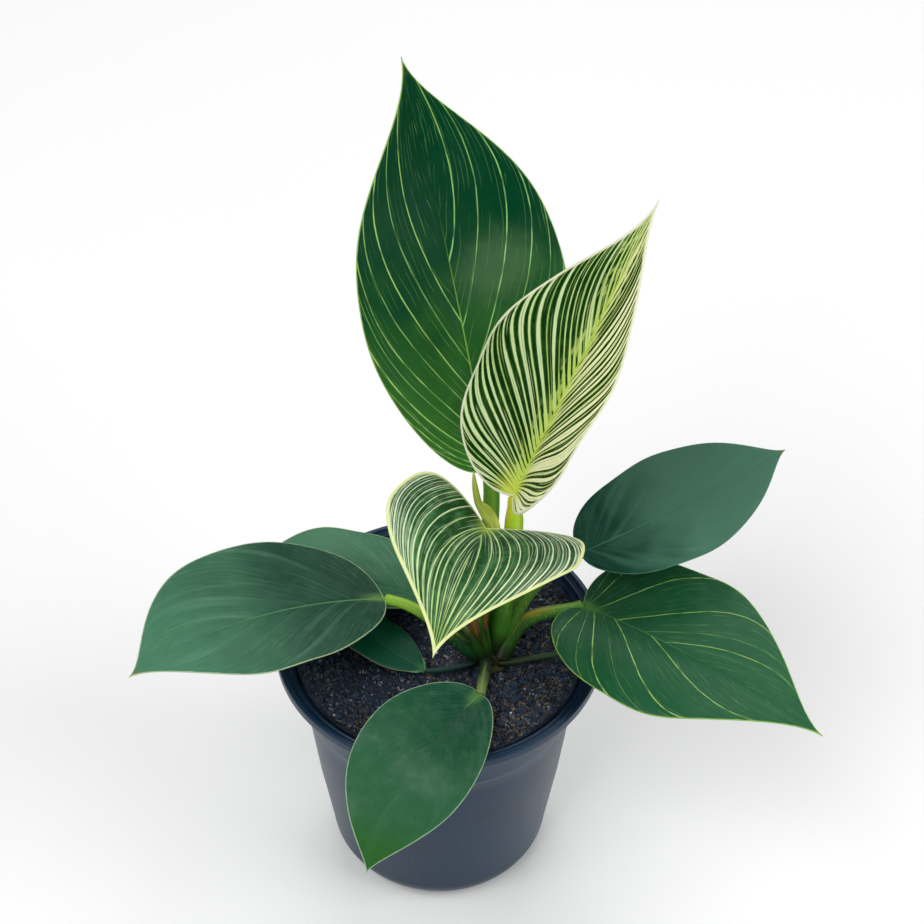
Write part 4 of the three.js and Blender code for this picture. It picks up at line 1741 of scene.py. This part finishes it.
@dataclass
class Studio:
    """A pale floor, soft light and the camera."""

    distance: float = 650.0
    above_rim: float = 98.0
    elevation: float = 48.3
    pitch: float = 43.3
    focal_pixels: float = 1970.0
    picture_pixels: float = 924.0
    middle_pixels: float = 439.36
    sensor: float = 36.0
    aim: Point = (0.0, 0.0, 0.12)
    surroundings: float = 0.3
    lamps: tuple[tuple[str, Point, float, float], ...] = (
        ("key_light", (-0.8, -0.8, 1.5), 1.2, 19.5),
        ("fill_light", (1.2, -0.4, 1.0), 1.0, 10.5),
        ("back_light", (0.1, 1.2, 1.4), 1.3, 11.5),
    )

    def camera(self) -> None:
        """Places the camera in front of the plant and above it."""
        angle = math.radians(self.elevation)
        y = -self.distance * math.cos(angle) * MM
        z = (self.above_rim + self.distance * math.sin(angle)) * MM
        bpy.ops.object.camera_add(location=(0, y, z), rotation=(math.radians(90 - self.pitch), 0, 0))
        camera = bpy.context.active_object
        camera.name = "camera"
        camera.data.sensor_width = self.sensor
        camera.data.lens = self.focal_pixels / self.picture_pixels * self.sensor
        camera.data.shift_x = (self.picture_pixels / 2 - self.middle_pixels) / self.picture_pixels
        camera.data.clip_start = 0.01
        bpy.context.scene.camera = camera

    def floor(self) -> None:
        """Lays a large pale floor."""
        deselect()
        bpy.ops.mesh.primitive_circle_add(vertices=96, radius=6.0, fill_type="NGON", location=(0, 0, 0))
        floor = named(bpy.context.active_object, "floor")
        paint = Paint("floor_white")
        colour = paint.mix(paint.noise(paint.place(), 3, 2), "f6f6f6", "f9f9f9")
        floor.data.materials.append(paint.finish({"Base Color": colour, "Roughness": 0.9}))
        floor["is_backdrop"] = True

    def lamp(self, name: str, place: Point, size: float, power: float) -> None:
        """Hangs one square soft light that faces the plant.

        Args:
            name: Its name.
            place: Where it hangs, in metres.
            size: Its width in metres.
            power: Its power in watts.
        """
        bpy.ops.object.light_add(type="AREA", location=place)
        lamp = bpy.context.active_object
        lamp.name = name
        lamp.data.size = size
        lamp.data.energy = power
        lamp.rotation_euler = (Vector(self.aim) - Vector(place)).to_track_quat("-Z", "Y").to_euler()

    def light(self) -> None:
        """Hangs the lights and brightens the surroundings."""
        for lamp in self.lamps:
            self.lamp(*lamp)
        world = bpy.data.worlds.new("surroundings")
        bpy.context.scene.world = world
        world.use_nodes = True
        background = world.node_tree.nodes["Background"]
        background.inputs["Color"].default_value = (1, 1, 1, 1)
        background.inputs["Strength"].default_value = self.surroundings
        bpy.context.scene.view_settings.view_transform = "Standard"

    def build(self) -> None:
        """Sets the whole stage."""
        self.camera()
        self.floor()
        self.light()


# ------------------------------------------------------------------ the plant's own values

STEM = (16.6, -6.0)
SOIL_LEVEL = 92.2

SHAPES: dict[str, BladeShape] = {
    "tall": BladeShape(
        (16, 28, 146.5), 133, (34.5, 36.5), (108, 8), (56, 0), (0, -8), (10, 23), (-18, -7), 0.8,
        Outline(0.45, 0.3, 0.14, 0.04, 0.37, -0.22), (Veins(2.2, 2.3),) * 2,
    ),
    "upright": BladeShape(
        (23, 8, 153.5), 103, (33, 32.5), (40, 4), (57, -1), (13, -1), (28, 12), (-8, 4), 1.0,
        Outline(0.32, 0.33, 0.21, 0.06, 0.39, -0.06), (Veins(2.0, 1.85, tip_angle=26),) * 2,
    ),
    "heart": BladeShape(
        (14.5, -1.5, 149), 64.5, (34.5, 30.5), (251, 8), (17, -17), (19, -13), (28, 21), (0, -24), 0.6,
        Outline(0.27, 0.22, 0.25, 0.04, 0.58, 0.08),
        (
            Veins(3.0, 2.0, 120, 16, 1.2, 0.42, 0.38, 12, lobe=0.24, lobe_rows=0.7, lobe_power=1.15),
            Veins(4.0, 2.0, 46, 14, 0.8, 0.42, 0.4, 12, lobe=0.36, lobe_rows=0.6, lobe_power=0.9),
        ),
    ),
    "right_low": BladeShape(
        (47, 4.5, 107), 92, (30, 29.5), (-39, -4), (11, -13), (4, -2), (17, 7), (-1, -38), 0.6,
        Outline(0.36, 0.28, 0.16, 0.08, 0.42, -0.01), (Veins(2.2, 2.1),) * 2,
    ),
    "right_high": BladeShape(
        (46.5, 16.5, 119.5), 75.5, (25, 24.5), (19, 4), (13, 8), (8, -9), (8, 11), (-10, -11), 0.4,
        Outline(0.41, 0.37, 0.09, 0.04, 0.34, -0.08),
    ),
    "left_wide": BladeShape(
        (-18, 5, 109.5), 93, (27.5, 29.5), (194, 36), (14, -7), (-11, 17), (11, 8), (-10, 4), 0.5,
        Outline(0.45, 0.31, 0.12, -0.01, 0.36, -0.08),
    ),
    "left_back": BladeShape(
        (-4, 16, 98), 63, (21.5, 22), (163, 3), (5, -8), (-11, 4), (20, 9), (-3, -10), 0.3,
        Outline(0.55, 0.33, 0.12, 0.09, 0.42, -0.03),
    ),
    "left_small": BladeShape(
        (-4.5, -14, 96), 42, (11, 10.5), (151, -12), (9, -4), (-11, 2), (5, 16), (6, -6), 0.2,
        Outline(0.5, 0.3, 0.2, -0.08, 0.34, -0.15),
    ),
    "front": BladeShape(
        (13, -25.5, 97.5), 75, (18.5, 20.5), (231, 22), (9, -24), (6, 9), (17, 4), (-8, -4), 0.4,
        Outline(0.46, 0.31, 0.08, 0.03, 0.28, -0.18),
    ),
    "right_small": BladeShape(
        (46.5, -10, 101), 34, (10, 10), (-20, -10), (6, -14), (0, 0), (10, 4), (-8, -8), 0.2,
        Outline(0.4, 0.3, 0.2, 0.05, 0.4, 0.0),
    ),
}

STALKS: dict[str, StalkShape] = {
    "tall": StalkShape((0, 4, 6), ((12.5, 7, 119), (19, 20, 137)), 3.6, 2.6),
    "upright": StalkShape((2, 1.5, 6), ((20.5, 0, 121), (25, 4, 140)), 3.9, 2.9, 0.45),
    "heart": StalkShape((-2, -1, 5), ((10, -7, 118), (14, -5, 136)), 3.4, 2.0),
    "right_low": StalkShape((3.5, -1.5, 3), ((25, 3, 107), (34, 0.5, 107)), 3.7, 1.8),
    "right_high": StalkShape((3, 1.5, 4), ((23, 2, 112), (33.5, 9, 119.5)), 4.1, 2.0),
    "left_wide": StalkShape((-3.5, 0, 3), ((3, -6, 102), (-3.5, 2.5, 110)), 3.3, 1.7),
    "left_back": StalkShape((-3, 3, 2), ((7.5, 3, 99), (2, 9.5, 99.5)), 2.3, 1.4),
    "left_small": StalkShape((-3.5, -2.5, 2), ((8, -12.5, 97), (2, -14.5, 96.3)), 1.4, 0.9),
    "front": StalkShape((-1, -3.5, 3), ((15, -14, 99), (14, -20, 98)), 2.6, 1.6),
    "right_small": StalkShape((3, -3, 2), ((27, -11, 96.5), (36, -8.5, 99)), 1.4, 0.9),
}

FINISHES: dict[str, LeafFinish] = {
    "tall": LeafFinish(
        deep="387028", green="003a20", light="06482c", line="a0cc70", pale="90c474", margin="8bb558",
        rib="7fb046", fade=(0.0, 0.65), rib_width=0.45, rib_reach=0.7, hairs=36.0,
        lines=(
            ((0.07, 0.6), (0.11, 0.9), (0.15, 0.5), (0.2, 1.0), (0.27, 0.4), (0.315, 0.8), (0.385, 0.6),
             (0.455, 1.0), (0.54, 0.6), (0.63, 1.0)),
            ((0.12, 0.8), (0.18, 0.6), (0.25, 0.9), (0.33, 0.6), (0.41, 0.9), (0.505, 1.0), (0.62, 0.7),
             (0.735, 1.0)),
        ),
        line_width=0.24, hair_width=0.15, fine=0.2, dust=0.03, gloss=0.04, sheen_bands=0.15,
        sheen=(18.4, 62.0, 200.5), seed=1.0,
    ),
    "upright": LeafFinish(
        deep="042804", green="062e0a", light="4a8430", line="d0e0a8", pale="fffdc8", margin="e6e9c8",
        rib="c0d848", foot="d8e04c", tip="8c8a5c", under="93ad7c", close=33.0, cream=0.36, ragged=0.55,
        merge=0.17, gloss=0.05, margin_width=1.1, rib_width=0.7, rib_reach=1.3, foot_width=9.0,
        fine=0.0, dust=0.0, sheen_bands=0.0, seed=2.0,
    ),
    "heart": LeafFinish(
        deep="143e1e", green="1f4e26", light="5c905a", line="f0fad4", pale="d6eac8", margin="dfe7a4",
        rib="b4dc5c", foot="a9c860", tip="6f9a30", under="93ad7c", hairs=46.0, hair_width=0.16,
        hair_breaks=1.4, fine=0.45,
        lines=(
            ((0.08, 0.6), (0.12, 0.8), (0.17, 1.0), (0.19, 0.3), (0.21, 0.7), (0.25, 1.0), (0.27, 0.3),
             (0.29, 0.7), (0.32, 0.4), (0.35, 1.0), (0.375, 0.3), (0.4, 0.7), (0.45, 0.9), (0.5, 0.6),
             (0.555, 1.0), (0.62, 0.8), (0.69, 1.0), (0.76, 0.8), (0.82, 0.9), (0.88, 0.8), (0.93, 0.7)),
            ((0.13, 0.7), (0.18, 0.9), (0.21, 0.5), (0.24, 1.0), (0.265, 0.4), (0.29, 0.7), (0.317, 0.5),
             (0.345, 0.9), (0.37, 0.4), (0.395, 0.8), (0.418, 0.4), (0.44, 0.9), (0.487, 1.3),
             (0.545, 0.8), (0.6, 0.9), (0.67, 1.0), (0.745, 0.9), (0.8, 0.8), (0.86, 0.9), (0.91, 0.8)),
        ),
        line_width=0.2, broken=0.4, outer=1.35, warmth=0.55, margin_width=1.25, rib_reach=0.2,
        foot_width=6.0, dust=0.0, mottle=0.6, seed=3.0,
    ),
    "right_low": LeafFinish(
        deep="114c2c", green="215838", light="2f6840", line="a3c868", pale="a3c868", margin="8fb85a",
        rib="3f7c48", foot="5f9440", fade=(0.0, 0.9), rib_width=0.5,
        lines=(
            ((0.09, 0.5), (0.135, 0.8), (0.25, 0.9), (0.42, 0.7), (0.54, 0.3), (0.62, 0.7)),
            ((0.12, 0.8), (0.19, 0.5), (0.245, 1.0), (0.32, 0.3), (0.4, 1.0), (0.57, 0.9)),
        ),
        line_width=0.18, hair_width=0.15, fine=0.14, dust=0.08, seed=4.0,
    ),
    "right_high": LeafFinish(
        deep="00382a", green="446e5a", light="4a7c66", line="4f8068", margin="4f7a62", rib="4f7f68",
        foot="1c4c38", fade=(0.08, 0.5), fine=0.1, rib_reach=0.5, margin_width=0.22, dust=0.04,
        gloss=0.05, mottle=0.06, sheen_bands=0.35, seed=5.0,
    ),
    "left_wide": LeafFinish(
        deep="063a26", green="3a7254", light="5a8c70", line="7faa86", margin="a3b892", rib="5a8c5c",
        foot="6f9a50", fade=(0.08, 0.9), fine=0.16, rib_reach=0.75, rib_width=0.6, margin_width=0.35,
        dust=0.04, mottle=0.08, sheen_bands=0.4, seed=6.0,
    ),
    "left_back": LeafFinish(
        deep="2c5f42", green="437658", light="50825f", line="7fa878", margin="8fb070", rib="4a8050",
        fade=(0.2, 0.7), fine=0.2, dust=0.1, seed=7.0,
    ),
    "left_small": LeafFinish(
        deep="02402c", green="064a34", light="145840", line="3f7050", margin="5f6a4c", rib="2f6040",
        foot="2f6a40", fine=0.12, margin_width=0.25, dust=0.05, seed=8.0,
    ),
    "front": LeafFinish(
        deep="124430", green="2a5c3c", light="446f54", line="6f9f78", margin="8fb088", rib="5b8c48",
        foot="5f8f48", tip="265c10", fade=(0.1, 0.6), fine=0.06, rib_reach=0.14, rib_width=0.6,
        margin_width=0.3, dust=0.5, mottle=0.36, tip_reach=0.3, seed=9.0,
    ),
    "right_small": LeafFinish(seed=10.0),
}

STRIPED = ("upright", "heart")
DEEP_PLEATS, FLAT_PLEATS = 0.1, 0.03

# The dark lower colours are partly the stalks' own colour and partly painted shade in the crown.
STALK_FINISHES: dict[str, StalkFinish] = {
    "tall": StalkFinish(lower="1f4a14", upper="4a7a18", stripe="74963a", blush_share=0.0),
    "upright": StalkFinish(
        lower="33651a", upper="94b824", stripe="bcd458", blush="c8a42c", blush_share=0.6,
        blush_reach=(0.7, 1.4), side=-1, crown=0.55, turn=(0.25, 0.75),
    ),
    "heart": StalkFinish(
        lower="244f16", upper="6f8f30", blush="8f5220", blush_share=0.5, side=-1, turn=(0.3, 1.0)
    ),
    "right_low": StalkFinish(
        lower="245016", upper="4f8a30", blush="b08c2c", blush_share=0.55, blush_reach=(0.08, 0.85),
        turn=(0.3, 1.0),
    ),
    "right_high": StalkFinish(lower="2f6218", upper="5c7a2c", blush="b09028", blush_share=0.6, side=-1),
    "left_wide": StalkFinish(
        lower="0c3a1c", upper="7fae34", stripe="a8cc58", turn=(0.3, 0.9), blush_share=0.06
    ),
    "left_back": StalkFinish(lower="1a3f1e", upper="4f7a34"),
    "left_small": StalkFinish(lower="0a1a18", upper="17322c", stripe="24443c", blush_share=0.0),
    "front": StalkFinish(lower="1a261c", upper="6c8448", stripe="84985c", turn=(0.45, 1.0), blush_share=0.0),
    "right_small": StalkFinish(lower="1c2c1e", upper="34503a", stripe="4f6a50", blush_share=0.1),
}


def main() -> None:
    """Builds the stage, the pot, the soil, the shoot and the leaves, in that order."""
    logging.basicConfig(level=logging.INFO, format="%(name)s: %(message)s")
    Studio().build()
    pot = NurseryPot()
    pot.build()
    PottingMix(pot, STEM).build()
    feet = {name: shape.foot for name, shape in SHAPES.items()}
    Shoot(STEM, SOIL_LEVEL, STALKS, feet, STALK_FINISHES).build()
    for name, shape in SHAPES.items():
        slot, pleats = ("striped_leaf", DEEP_PLEATS) if name in STRIPED else ("green_leaf", FLAT_PLEATS)
        Blade(f"leaf_{name}", shape, FINISHES[name], slot, pleats).build()
    deselect()


def write_sizes() -> None:
    """Works out the box of the solids and the box of the dressed object."""
    boxes = {"cad": CAD_BOX, "visual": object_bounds()}
    plain = {name: [[float(v) for v in corner] for corner in box] for name, box in boxes.items()}


if __name__ == "__main__":
    main()
    write_sizes()
